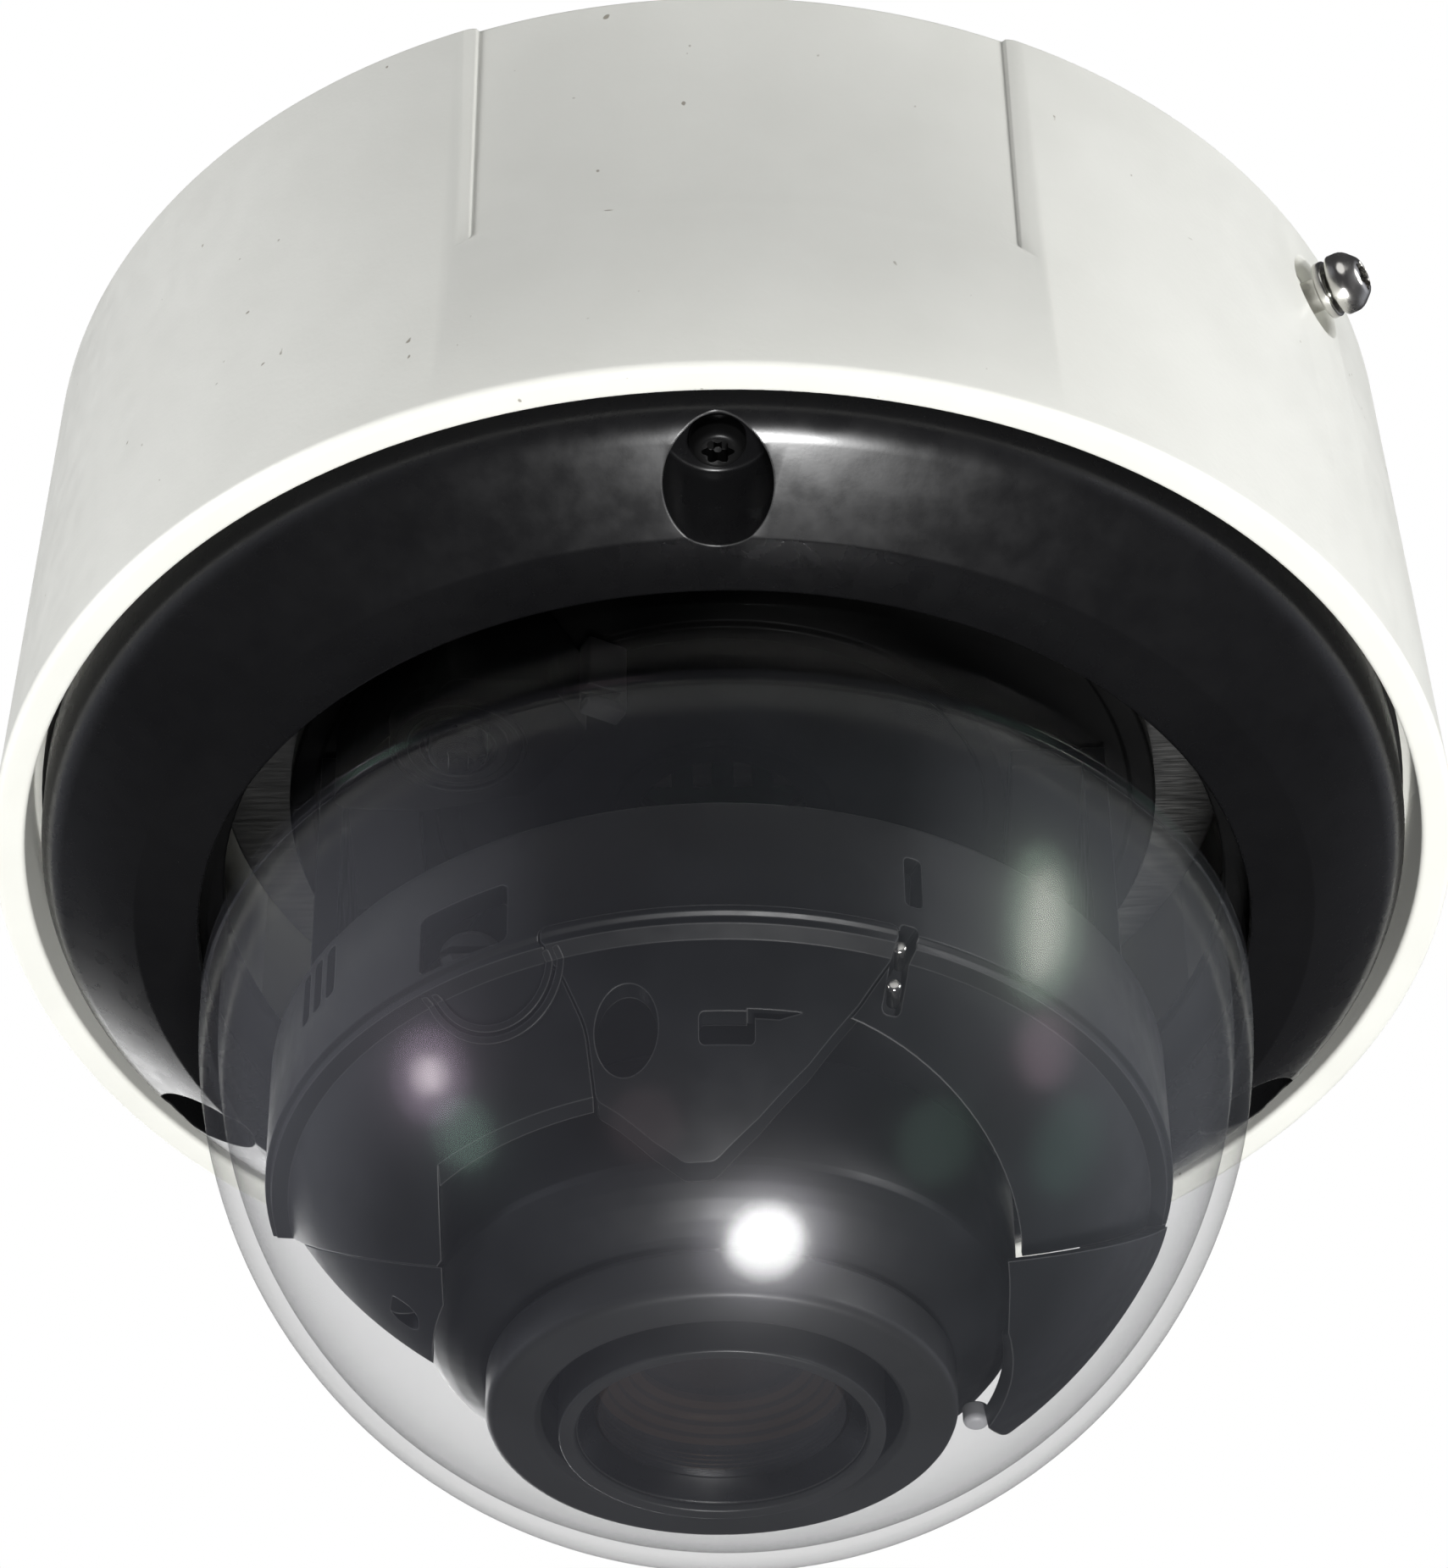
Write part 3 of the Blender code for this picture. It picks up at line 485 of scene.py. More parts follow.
COLLAR = surface("black_collar", (0.009, 0.010, 0.011), (0.012, 0.013, 0.014), (0.32, 0.42),
                 grain=3000.0, depth=0.002, edge=0.22, painted_edge_highlight=0.20)
NOSE = surface("black_nose", (0.038, 0.039, 0.039), (0.048, 0.049, 0.049), (0.34, 0.44),
               grain=3000.0, depth=0.002, edge=0.2, painted_edge_highlight=0.20)
STEEL = surface("stainless", (0.50, 0.49, 0.46), (0.66, 0.65, 0.62), (0.16, 0.30), metallic=1.0,
                grain=1800.0, depth=0.004, edge=0.15)
SHEET = surface("brushed_sheet", (0.46, 0.46, 0.45), (0.62, 0.62, 0.60), (0.28, 0.44), metallic=1.0,
                grain=900.0, depth=0.006, edge=0.2, stretch=(1, 18, 18))
DARK_STEEL = surface("black_steel", (0.02, 0.02, 0.02), (0.035, 0.035, 0.035), (0.26, 0.38),
                     metallic=0.5, grain=2500.0, depth=0.006, edge=0.12)
ALLOY = surface("aluminium", (0.055, 0.056, 0.056), (0.075, 0.076, 0.076), (0.30, 0.40), metallic=0.3,
                grain=2600.0, depth=0.002, edge=0.14, painted_edge_highlight=0.35)
SINK = surface("bare_aluminium", (0.55, 0.55, 0.56), (0.70, 0.70, 0.71), (0.32, 0.46), metallic=1.0,
               grain=900.0, depth=0.01, edge=0.15, stretch=(1, 12, 1))
RUBBER = surface("rubber", (0.020, 0.020, 0.020), (0.035, 0.035, 0.034), (0.65, 0.85), grain=1200.0,
                 depth=0.03, edge=0.25)
BOARD = surface("circuit_board", (0.008, 0.06, 0.025), (0.014, 0.11, 0.045), (0.30, 0.45),
                patch=260.0, grain=700.0, depth=0.02, edge=0.1)
PLASTIC = surface("grey_plastic", (0.28, 0.28, 0.29), (0.38, 0.38, 0.39), (0.45, 0.60), grain=1500.0,
                  depth=0.012, edge=0.2)
PALE = surface("pale_plastic", (0.14, 0.14, 0.14), (0.19, 0.19, 0.19), (0.40, 0.55), grain=1500.0,
               depth=0.012, edge=0.15)
GREEN = surface("terminal_green", (0.03, 0.26, 0.09), (0.05, 0.36, 0.13), (0.35, 0.5), grain=1500.0,
                depth=0.01, edge=0.15)
BUBBLE = clear_plastic("polycarbonate", (0.968, 0.968, 0.968), 0.018, 0.04, 0.13, -0.0752)
GLASS = clear_plastic("lens_glass", (0.84, 0.76, 0.68), 0.03, 0.05)


# ---------------------------------------------------------------- housing

FACING = Matrix.Rotation(math.pi / 2, 4, "X")
UPRIGHT = Matrix(((0, 0, 1, 0), (1, 0, 0, 0), (0, 1, 0, 0), (0, 0, 0, 1)))
FLOOR_TOP, FLOOR_LOW = -16.0, -19.0
LEDGE_Z = -48.3
GLAND_Y = 34.0
PANEL = (-24.5, 30.5, -34.7)
PANEL_DEPTH = 1.0
PANEL_SLOPE = 2.4


def mounting_plate():
    thick = 2.2
    plate = turned("plate", filleted([(0, 0), (64, 0, 0.5), (64, -thick, 0.5), (0, -thick)]))
    join(plate, block("plate_lug", (-6, -4, 57), (6, 8, 63), SIDE, edge=0.8))
    tools = [rod("cable_hole", 11, -5, 5, at(0, GLAND_Y)), rod("lug_hole", 2, 50, 70, SIDE)]
    for i, degrees in enumerate(PLATE_HOLE_ANGLES):
        place = at(*around(PLATE_HOLES_AT, degrees))
        tools.append(turned(f"screw_hole_{i}", [(0, 3), (2.3, 3), (2.3, -1.1), (4.4, -3.2), (0, -3.2)],
                            place, steps=48))
    cut(plate, *tools)
    fit(plate, "housing", "stainless", SHEET, "mounting_plate")


def housing_shell():
    wall = filleted([
        (0, FLOOR_TOP), (70.3, FLOOR_TOP, 1.2), (70.3, -0.4, 0.3), (MOUNT_R, -0.4, 0.6),
        (RIM_R, RIM_Z, 0.9), (73.1, RIM_Z, 0.6), (72.8, LEDGE_Z, 0.2), (69.2, LEDGE_Z, 0.2),
        (68.8, FLOOR_LOW, 1.0), (0, FLOOR_LOW),
    ])
    shell = turned("housing_wall", wall, steps=FINEST_ROUND)
    tools = []
    for i, degrees in enumerate(POCKET_ANGLES):
        tools.append(rod(f"lug_{i}", 5, -50, FLOOR_LOW + 1, at(*around(POCKET_AT, degrees))))
    for i, degrees in enumerate(BOSS_ANGLES):
        tools.append(rod(f"boss_{i}", 3.2, -23.7, FLOOR_LOW + 1, at(*around(BOSS_AT, degrees))))
    join(shell, *tools)
    tools = [rod("floor_hole", 9, -30, -10, at(0, GLAND_Y)), rod("side_hole", 2.4, 60, 90, SIDE)]
    for i, degrees in enumerate(POCKET_ANGLES):
        tools.append(rod(f"lug_bore_{i}", 1.8, -52, -36, at(*around(POCKET_AT, degrees)), 24))
    for i, degrees in enumerate(BOSS_ANGLES):
        tools.append(rod(f"boss_bore_{i}", 1.5, -30, -20.5, at(*around(BOSS_AT, degrees)), 24))
    crater = filleted([(0, 95), (24, 95), (4.3, MOUNT_R - 0.2, 1.2), (4.3, MOUNT_R - 1.6),
                       (0, MOUNT_R - 1.6)])
    tools.append(turned("crater", crater, SIDE, steps=64))
    tools.append(panel_cutter())
    cut(shell, *tools)
    fit(shell, "housing", "white_paint", WHITE, "outer_housing", sharp=24)


def panel_cutter():
    """The shallow recess in the near side, with gently sloping sides and end."""
    taper = (RIM_R - MOUNT_R) / -RIM_Z
    left, right, bottom = PANEL
    floor_top = MOUNT_R - PANEL_DEPTH - 6 * taper
    floor_low = MOUNT_R - PANEL_DEPTH - (bottom + 2) * taper
    outside = MOUNT_R + 0.3 - bottom * taper
    ring = turned("panel_ring", [(floor_top, 6), (95, 6), (95, bottom - 0.9), (outside, bottom - 0.9),
                                 (floor_low, bottom + 2)], steps=FINEST_ROUND)
    outline = [(0.0, -40.0)]
    for x, side in ((left, -1), (right, 1)):
        foot = Vector((x - side * 0.4, -math.sqrt((MOUNT_R - PANEL_DEPTH + 0.6) ** 2 - x * x)))
        out = foot.normalized()
        slope = side * Vector((-out.y, out.x)) * PANEL_SLOPE * 4 + out * PANEL_DEPTH * 4
        pair = [foot, foot + slope, Vector((x * 1.5, -95.0))]
        outline += [tuple(p) for p in (pair if side < 0 else reversed(pair))]
    lean = Matrix.Identity(4)
    lean[1][2] = taper
    return keep(ring, prism("panel_outline", outline, -60, 20, lean))


def side_screw():
    seat = MOUNT_R + 2.6
    head = filleted([
        (0, seat + 3.4), (1.9, seat + 3.4, 1.0), (3.3, seat + 1.9, 1.6), (3.3, seat + 0.4, 0.3),
        (2.8, seat, 0.2), (1.8, seat), (1.8, 58), (1.2, 57), (0, 57),
    ])
    screw = turned("security_screw", head, SIDE, steps=64)
    socket = prism("side_socket", star(1.75, 1.25), seat + 1.2, seat + 9, SIDE)
    cut(screw, socket)
    join(screw, rod("side_pin", 0.45, seat + 0.8, seat + 2.6, SIDE, 24))
    fit(screw, "side_screw", "stainless", STEEL, "side_screw")
    top, bottom = seat - 0.3, seat - 1.3
    washer = turned("washer", filleted([(2.1, top), (3.1, top, 0.2), (3.1, bottom, 0.2), (2.1, bottom)]),
                    SIDE, steps=64)
    fit(washer, "side_screw", "stainless", STEEL, "side_screw_washer")


def grommet():
    outline = filleted([
        (4.0, -13.8, 0.6), (11.5, -13.8, 1.0), (12.0, -15.65, 0.3), (8.6, -15.7, 0.2),
        (8.6, -19.3, 0.2), (11.2, -19.35, 0.3), (10.6, -21.2, 0.8), (4.0, -21.2, 0.6),
    ], closed=True)
    fit(turned("grommet", outline, at(0, GLAND_Y), 64), "housing", "rubber", RUBBER, "cable_grommet")


# ---------------------------------------------------------------- cover

SHOULDER = 5.5


def bezel_outline():
    """The cover ring's outer section: wall, rounded shoulder, cone and inner land."""
    land = (61.2, RIM_Z - 7.7, 0.9)
    return [(BEZEL_R, -50.5, 0.3), (BEZEL_R, RIM_Z - 1.0, SHOULDER), land, (54.6, BEZEL_LOW, 0.4)]


def bezel():
    inner = [(54.6, RIM_Z - 7.0, 0.2), (60.2, RIM_Z - 6.5, 1.0), (66.8, RIM_Z - 1.5, 2.0),
             (69.3, RIM_Z + 0.4, 1.0), (69.4, -50.5, 0.2)]
    ring = turned("bezel", filleted(bezel_outline() + inner, closed=True), steps=256)
    bosses = []
    for i, degrees in enumerate(POCKET_ANGLES):
        envelope = [(0, -52), (BEZEL_R - 0.15, -52), (BEZEL_R - 0.15, RIM_Z - 1.1, SHOULDER),
                    (61.2, RIM_Z - 7.6, 0.9), (54.7, BEZEL_LOW + 0.1), (0, BEZEL_LOW + 0.1)]
        boss = rod(f"pocket_boss_{i}", 6.6, -70, -51.5, at(*around(POCKET_AT, degrees)))
        bosses.append(keep(boss, turned(f"envelope_{i}", filleted(envelope))))
    join(ring, *bosses)
    tools = []
    for i, degrees in enumerate(POCKET_ANGLES):
        place = at(*around(POCKET_AT, degrees))
        mouth = filleted([(0, POCKET_ROOF), (5.3, POCKET_ROOF, 0.4), (5.3, -80), (0, -80)])
        tools.append(turned(f"pocket_{i}", mouth, place, 96))
        tools.append(rod(f"shank_hole_{i}", 2, -60, -45, place, 32))
    cut(ring, *tools)
    fit(ring, "cover", "black_satin", BLACK, "bezel_ring", sharp=24)


def bezel_screws():
    for i, degrees in enumerate(POCKET_ANGLES, 1):
        place = at(*around(POCKET_AT, degrees, POCKET_ROOF))
        outline = filleted([
            (0, 15), (1.0, 15), (1.45, 14.2), (1.45, -0.3), (2.75, -0.3, 0.2), (2.75, -1.6, 0.3),
            (2.2, -2.7, 0.7), (0, -2.7),
        ])
        screw = turned(f"cover_screw_{i}", outline, place, 48)
        cut(screw, prism(f"socket_{i}", star(1.6, 1.15), -6, -1.0, place))
        join(screw, rod(f"pin_{i}", 0.4, -2.4, -0.8, place, 24))
        fit(screw, f"bezel_screw_{i}", "black_steel", DARK_STEEL, f"bezel_screw_{i}")


BUBBLE_WALL = 2.0


def bubble():
    inner_r = DOME_R - BUBBLE_WALL
    edge = DOME_R - 0.05
    inside = arc(inner_r, -90, 0, 48, (0, PIVOT_Z))
    bowl = arc(edge, 0, -90, 48, (0, PIVOT_Z))
    inside[0] = (0, PIVOT_Z - inner_r)
    bowl[-1] = (0, PIVOT_Z - edge)
    skirt = filleted([
        (inner_r, -70), (inner_r, -60.3, 0.2), (58.4, -60.3, 0.3), (58.4, -62.8, 0.3),
        (DOME_R, -62.8, 0.6), (DOME_R, -75.5, 0.3), (DOME_R - 0.6, -76.0, 0.2),
        (DOME_R - 0.6, -76.8, 0.2), (edge, -77.4),
    ])
    fit(turned("bubble", inside + skirt + bowl, steps=256), "cover", "polycarbonate", BUBBLE,
        "dome_bubble", sharp=40)


def clamp_rings():
    seal = turned("bubble_seal", rectangle(55.2, 57.9, -63.1, -63.9))
    fit(seal, "cover", "rubber", RUBBER, "dome_seal")
    ring = turned("retainer", filleted([(52.3, -58.0, 0.3), (57.8, -58.0, 0.4), (58.4, -60.0, 0.3),
                                        (52.3, -60.0, 0.3)], closed=True))
    notches = [block(f"retainer_notch_{i}", (55.5, -2.5, -58.9), (70, 2.5, -50),
                     Matrix.Rotation(math.radians(60 * i + 30), 4, "Z"), 0.3) for i in range(6)]
    cut(ring, *notches)
    fit(ring, "cover", "grey_plastic", INNER, "dome_retainer")
    gasket = turned("cover_gasket", rectangle(69.4, 71.9, -48.6, -50.1))
    cut(gasket, *[rod(f"gasket_notch_{i}", 5.4, -52, -46, at(*around(POCKET_AT, degrees)))
                  for i, degrees in enumerate(POCKET_ANGLES)])
    fit(gasket, "housing", "rubber", RUBBER, "cover_seal")


# ---------------------------------------------------------------- gimbal

UNDER = -48.4 - PIVOT_Z
ARM = (38.5, 41.0)


def gimbal_base():
    bracket = turned("bracket", filleted([(10, -40, 0.2), (54, -40, 0.3), (54, -41.5, 0.3),
                                          (10, -41.5, 0.2)], closed=True))
    tools = [rod(f"bracket_hole_{i}", 1.9, -60, -30, at(*around(POSTS_AT, degrees)), 24)
             for i, degrees in enumerate(POST_ANGLES)]
    cut(bracket, *tools)
    fit(bracket, "housing", "stainless", SHEET, "gimbal_bracket")
    ring = turned("base_ring", rectangle(36, 43, -41.8, -44.8))
    fit(ring, "housing", "grey_plastic", INNER, "pan_base_ring")


def turntable():
    outline = filleted([
        (9, -45.1, 0.3), (46, -45.1, 0.4), (46, -48.1, 0.5), (43.5, -48.1, 0.3), (43.1, -47.5, 0.3),
        (30.5, -47.5, 0.3), (30.1, -48.1, 0.3), (28.2, -48.1, 0.3), (27.8, -47.5, 0.3),
        (12.0, -47.5, 0.3), (11.6, -48.1, 0.3), (9, -48.1, 0.3),
    ], closed=True)
    plate = turned("turntable", outline)
    fit(plate, "pan_carriage", "black_shell", INNER, "pan_turntable")


def yokes():
    for side, name in ((-1, "left"), (1, "right")):
        near, far = sorted((side * ARM[0], side * ARM[1]))
        outline = filleted([(-11, UNDER), (-11, -7, 4), (-5, -13.5, 4), (5, -13.5, 4), (11, -7, 4),
                            (11, UNDER)], closed=True)
        arm = prism("arm_" + name, outline, near, far, HEAD @ UPRIGHT)
        foot_low, foot_high = sorted((side * 31.0, side * (ARM[0] + 1)))
        join(arm, block("foot_" + name, (foot_low, -11, UNDER - 2.5), (foot_high, 11, UNDER), HEAD, 0.4))
        window = filleted([(-6, UNDER - 5, 1.5), (-6, 8, 1.5), (6, 8, 1.5), (6, UNDER - 5, 1.5)],
                          closed=True)
        outside = sorted((side * (ARM[1] - 0.8), side * 50.0))
        cut(arm, prism("arm_recess_" + name, window, *outside, HEAD @ UPRIGHT),
            rod("arm_bore_" + name, 3.4, -60, 60, HEAD @ UPRIGHT))
        fit(arm, "pan_carriage", "black_shell", SHELL, "yoke_" + name)


def pan_lock():
    outline = filleted([(-41, -14, 1.5), (-36.5, -21.5, 1.5), (-27, -33.5, 1.5), (-17.5, -33, 1.5),
                        (-13.5, -25, 1.5), (-20, -15.5, 1.5), (-31, -13.2, 1.5)], closed=True)
    centre = (-26.8, -23.5)
    low_z = UNDER - 10.2
    plate = prism("lock_bracket", outline, low_z + 0.8, UNDER, PAN)
    raised = filleted([(3.9, low_z + 3), (5.2, low_z + 3), (5.2, low_z, 0.3), (3.9, low_z, 0.3)],
                      closed=True)
    outer = filleted([(6.4, low_z + 3), (7.2, low_z + 3), (7.0, low_z + 0.2, 0.2), (6.4, low_z + 0.2, 0.2)],
                     closed=True)
    join(plate, turned("lock_rim", raised, PAN @ at(*centre), 96),
         turned("lock_rim_outer", outer, PAN @ at(*centre), 96))
    cut(plate, rod("lock_bore", 3.4, 0, 60, PAN @ at(*centre)))
    fit(plate, "pan_carriage", "black_shell", INNER, "pan_lock_bracket")
    screw = turned("lock_screw", filleted([
        (0, UNDER - 4), (1.5, UNDER - 4), (3.0, UNDER - 8, 0.6), (3.0, UNDER - 10.8, 0.4),
        (2.3, UNDER - 11.6, 0.4), (0, UNDER - 11.6),
    ]), PAN @ at(*centre), 64)
    cut(screw, prism("lock_socket", star(1.7, 1.2), 0, UNDER - 10.0, PAN @ at(*centre)))
    fit(screw, "pan_lock_screw", "black_steel", DARK_STEEL, "pan_lock_screw")
    place = PAN @ at(-12, -27.5) @ Matrix.Rotation(0.5, 4, "Z")
    clip = block("clip", (-2.2, -1.2, UNDER - 9), (2.2, 1.2, UNDER), place, 0.35)
    cut(clip, block("clip_slot", (-3, -2, UNDER - 8.0), (1.4, 0.5, UNDER - 6.6), place),
        block("clip_slot_2", (-1.4, -0.5, UNDER - 5.6), (3, 2, UNDER - 4.4), place))
    fit(clip, "pan_carriage", "grey_plastic", PALE, "cable_clip")


# ---------------------------------------------------------------- shroud, from the pivot

SHROUD_R = 48.0
SHROUD_T = 1.6
WALL_R = 45.3
WALL_TOP, WALL_BOTTOM = -6.5, -20.0
OPEN_X = (-27.5, 29.3)
OPEN_END_Y = -11.0
APRON_Z = -32.5
WING_R = 49.1
COLLAR_ROOM_R = 31.0
MAIN_OPEN, WING_OPEN = 28.2, 26.8
WING_ROOM_R = 29.0
HEART_GAP = 0.22
SEAM_GAP = 0.08
SEAM_Z = -24.8
SEAM_SLOPE = math.radians(43)
HEART = (
    (-18.2, -19.4, 0.8), (-15.3, -22.9, 4), (-13.0, -27.5, 6), (-12.2, -32.9, 1.2), (-10.1, -34.1, 2),
    (-6.9, -36.2, 3), (-4.0, -37.7, 1.8), (-1.2, -37.7, 1.8), (3.0, -34.9, 6), (7.7, -31.0, 6),
    (12.4, -26.0, 6), (15.5, -21.8, 3), (16.9, -19.4, 0.8),
)


def shroud_blank(name, proud=0.0, place=HEAD, wall_r=WALL_R, bowl_r=SHROUD_R):
    """The whole thin shell: an upright wall, a small step and a sphere."""
    thin = bowl_r - SHROUD_T
    rise = math.degrees(math.asin((WALL_BOTTOM - 1.5) / bowl_r))
    rise_in = math.degrees(math.asin((WALL_BOTTOM - 1.2) / thin))
    wall = filleted([(wall_r - SHROUD_T, WALL_TOP), (wall_r + proud, WALL_TOP, 0.3),
                     (wall_r + proud, WALL_BOTTOM, 0.25), (wall_r - 0.6 + proud, WALL_BOTTOM - 0.25, 0.1),
                     (wall_r - 0.7 + proud, WALL_BOTTOM - 1.0)])
    outer = arc(bowl_r + proud, rise, -56, 20)
    inner = arc(thin, -56, rise_in, 12)
    return turned(name, wall + outer + inner, place, steps=FINE_ROUND)


def heart(name, grow):
    """The centre plate's outline as a bar towards the viewer's side, grown by this much."""
    middle = sum((Vector(p[:2]) for p in HEART), Vector((0, 0))) / len(HEART)
    outline = []
    for x, z, radius in HEART:
        away = (Vector((x, z)) - middle).normalized() * grow
        outline.append((x + away.x, z + away.y, radius))
    return prism(name, filleted(outline, closed=True), 8, 80, PAN @ FACING)


def seam_half(name, drop, below):
    """All that is below, or above, the sloping plane of the shell's parting line."""
    span = (-90, 0) if below else (0, 90)
    place = PAN @ at(0, 0, SEAM_Z + drop) @ Matrix.Rotation(SEAM_SLOPE, 4, "X")
    return block(name, (-90, -90, span[0]), (90, 90, span[1]), place)


def slot_cutters(name, half, room=COLLAR_ROOM_R):
    """Opens the shell for the collar, half wide on the right, where the wing's end is shaped."""
    left, right = OPEN_X
    ends = [(half * math.cos(a), OPEN_END_Y + right * math.sin(a))
            for a in (math.radians(-3 * i) for i in range(31))]
    wing_end = filleted([(right, 80), (right, 24), (27.8, 19.5, 8), (26.3, 13.6, 8), (24.8, 8.4, 6),
                         (23.5, 6.2, 1.5), (23.1, 4.6, 0.8), (23.4, 2.6, 1.0), (24.0, 0.4, 1.2),
                         (25.4, -1.8, 2), (half, -5.0, 3), (half, -9.0)])
    return [prism(name + "_slot_right", ends + [(0, 80)] + wing_end, -80, 40, PAN),
            block(name + "_slot_low", (left, -60, -80), (1, 1, APRON_Z), PAN),
            block(name + "_slot_far", (left, 0, -80), (1, 80, 40), PAN),
            prism(name + "_collar_room", arc(room, 90, 270, 60), -80, APRON_Z - 0.5, PAN)]


def wall_block(name, azimuth, width, bottom, top):
    """A small upright slot through the shell at this azimuth."""
    place = PAN @ Matrix.Rotation(math.radians(azimuth), 4, "Z")
    return block(name, (30, -width / 2, bottom), (60, width / 2, top), place, edge=width * 0.3)


def shroud():
    shell = shroud_blank("shroud_main")
    tools = [heart("heart_hole", HEART_GAP), seam_half("seam_low", 0.0, True)]
    tools += slot_cutters("main", MAIN_OPEN)
    window = filleted([(-29, -19.5, 0.8), (-29, -12.5, 0.8), (-20.5, -12.5, 0.8), (-20.5, -19.5, 0.8)],
                      closed=True)
    tools.append(prism("lock_window", window, 20, 60, PAN @ FACING))
    tools += [wall_block(f"vent_{i}", 207 + 3.2 * i, 1.7, -13.5, -7.5) for i in range(3)]
    tools.append(wall_block("notch", -66.5, 1.8, -16.5, -10.5))
    tools.append(wall_block("channel", -67.3, 1.9, -26.0, -19.0))
    cut(shell, *tools)
    fit(shell, "pan_carriage", "black_shell", SHELL, "shroud_shell", sharp=30)
    for side, name, far in ((-1, "left", 0.5), (1, "right", 22.0)):
        if side > 0:
            wing = shroud_blank("wing_" + name, 0.0, PAN, WALL_R + HEAD_X, WING_R)
        else:
            wing = shroud_blank("wing_" + name)
        middle = sorted((-side * 90.0, side * 20.0))
        tools = [seam_half(name + "_seam", -SEAM_GAP, False)]
        tools += slot_cutters(name, WING_OPEN, WING_ROOM_R)
        tools += [block(name + "_half", (middle[0], -90, -90), (middle[1], 90, 90), PAN),
                  block(name + "_far", (-90, far, -90), (90, 90, 90), PAN)]
        if side < 0:
            eye = filleted([(-33.2, -6.2, 1.2), (-30.2, -6.2, 1.2), (-30.2, -3.0, 1.2),
                            (-33.2, -3.0, 1.2)], closed=True)
            tools.append(prism("wing_eye", eye, -60, -35.4, PAN))
        cut(wing, *tools)
        fit(wing, "pan_carriage", "black_shell", SHELL, "shroud_wing_" + name, sharp=30)
    plate = keep(shroud_blank("centre_plate", HEART_GAP), heart("heart_keep", 0.0))
    oval = prism("oval_hole", [(-9.3 + 3.0 * math.cos(a), -28.2 + 3.5 * math.sin(a)) for a in
                               (math.radians(7.5 * i) for i in range(48))], 10, 80, PAN @ FACING)
    square = filleted([(-2.5, -29.9, 0.5), (-2.5, -27.4, 0.5), (2.7, -27.4, 0.5), (2.7, -29.9, 0.5)],
                      closed=True)
    slit = [(2.0, -27.9), (2.0, -27.2), (7.2, -27.2), (5.0, -27.9)]
    cut(plate, oval, prism("square_hole", square, 20, 60, PAN @ FACING),
        prism("slit", slit, 20, 60, PAN @ FACING))
    fit(plate, "pan_carriage", "black_shell", SHELL, "shroud_centre_plate", sharp=30)
    shroud_trim()


def shroud_trim():
    """Round ridges under the lock window, bright pins in the channel and a tip under a wing."""
    centre = Vector((-22.0, -37.8, -19.8))
    place = PAN @ Matrix.Translation(centre) @ centre.to_track_quat("Z", "Y").to_matrix().to_4x4()
    for i, radius in enumerate((7.4, 6.3)):
        ring = turned(f"ridge_{i}", filleted([(radius - 0.35, -2), (radius - 0.35, 1.0, 0.2),
                                              (radius + 0.35, 1.0, 0.2), (radius + 0.35, -2)],
                                             closed=True), place, 96)
        keep(ring, shroud_blank(f"ridge_bound_{i}", 0.3))
        cut(ring, block(f"ridge_top_{i}", (-60, -80, -19.6), (0, 0, 10), PAN))
        fit(ring, "pan_carriage", "black_shell", SHELL)
    for i, spot in enumerate(((16.4, -39.6, -20.6), (15.8, -38.2, -24.0))):
        pin = turned(f"channel_pin_{i}", filleted([(0, 0.9), (0.7, 0.9, 0.3), (0.7, -2), (0, -2)]),
                     PAN @ at(*spot) @ Matrix.Rotation(math.pi / 2, 4, "X"), 24)
        fit(pin, "pan_carriage", "stainless", STEEL)
    tip = turned("wing_pin", filleted([(0, 1), (1.3, 1), (1.3, -1, 0.7), (0, -1)]),
                 PAN @ at(24.2, 10.4, -39.4), 32)
    fit(tip, "pan_carriage", "grey_plastic", PLASTIC)


def tilt_lock():
    outline = filleted([(-38, -11.4), (-39.6, -11.3), (-27.6, -30.5, 1.2), (-20.6, -30.5),
                        (-20.6, -28.8), (-26.7, -28.8, 0.8)], closed=True)
    plate = prism("lock_plate", outline, -19, -13, PAN)
    fit(plate, "pan_carriage", "stainless", SHEET, "tilt_lock_bracket")
    place = PAN @ at(-24.2, 0, -16.2) @ FACING
    knob = turned("lock_knob", filleted([(0, 35.4), (2.0, 35.4, 0.3), (3.0, 34.6, 0.3), (3.0, 30.8),
                                         (0, 30.8)]), place, 48)
    cut(knob, block("knob_slot", (-4, -0.45, 34.4), (4, 0.45, 38), place))
    fit(knob, "tilt_lock_screw", "grey_plastic", PALE, "tilt_lock_screw")


# ---------------------------------------------------------------- camera head

def camera_head():
    shell = turned("head_shell", filleted([
        (0, 17.0), (17.0, 16.4, 8), (24.5, 12.5, 8), (27.8, 6.0, 6), (27.8, -20.8, 0.6),
        (25.8, -20.8, 0.3), (25.8, 5.2, 4), (23, 11, 6), (16.4, 14.4, 6), (0, 15.0),
    ]), LENS)
    across = HEAD @ Matrix.Rotation(math.radians(3), 4, "X") @ UPRIGHT
    seats = []
    for side, name in ((-1, "left"), (1, "right")):
        seats.append(rod("pin_seat_" + name, 3.0, *sorted((side * 22.8, side * 32.8)), across))
        outline = filleted([(0, 25.9), (2.95, 25.9, 0.2), (2.95, 28.3), (4.6, 28.3, 0.2), (4.6, 29.3, 0.2),
                            (2.95, 29.3), (2.95, 41.8), (4.6, 41.8, 0.3), (4.6, 43.4, 0.4), (0, 43.4)])
        pin = turned("tilt_pin_" + name + "_fine", [(r, side * z) for r, z in outline], across, 64)
        fit(pin, "camera_head", "black_steel", DARK_STEEL, "tilt_pin_" + name)
    cut(shell, *seats)
    fit(shell, "camera_head", "black_shell", SHELL, "module_housing")


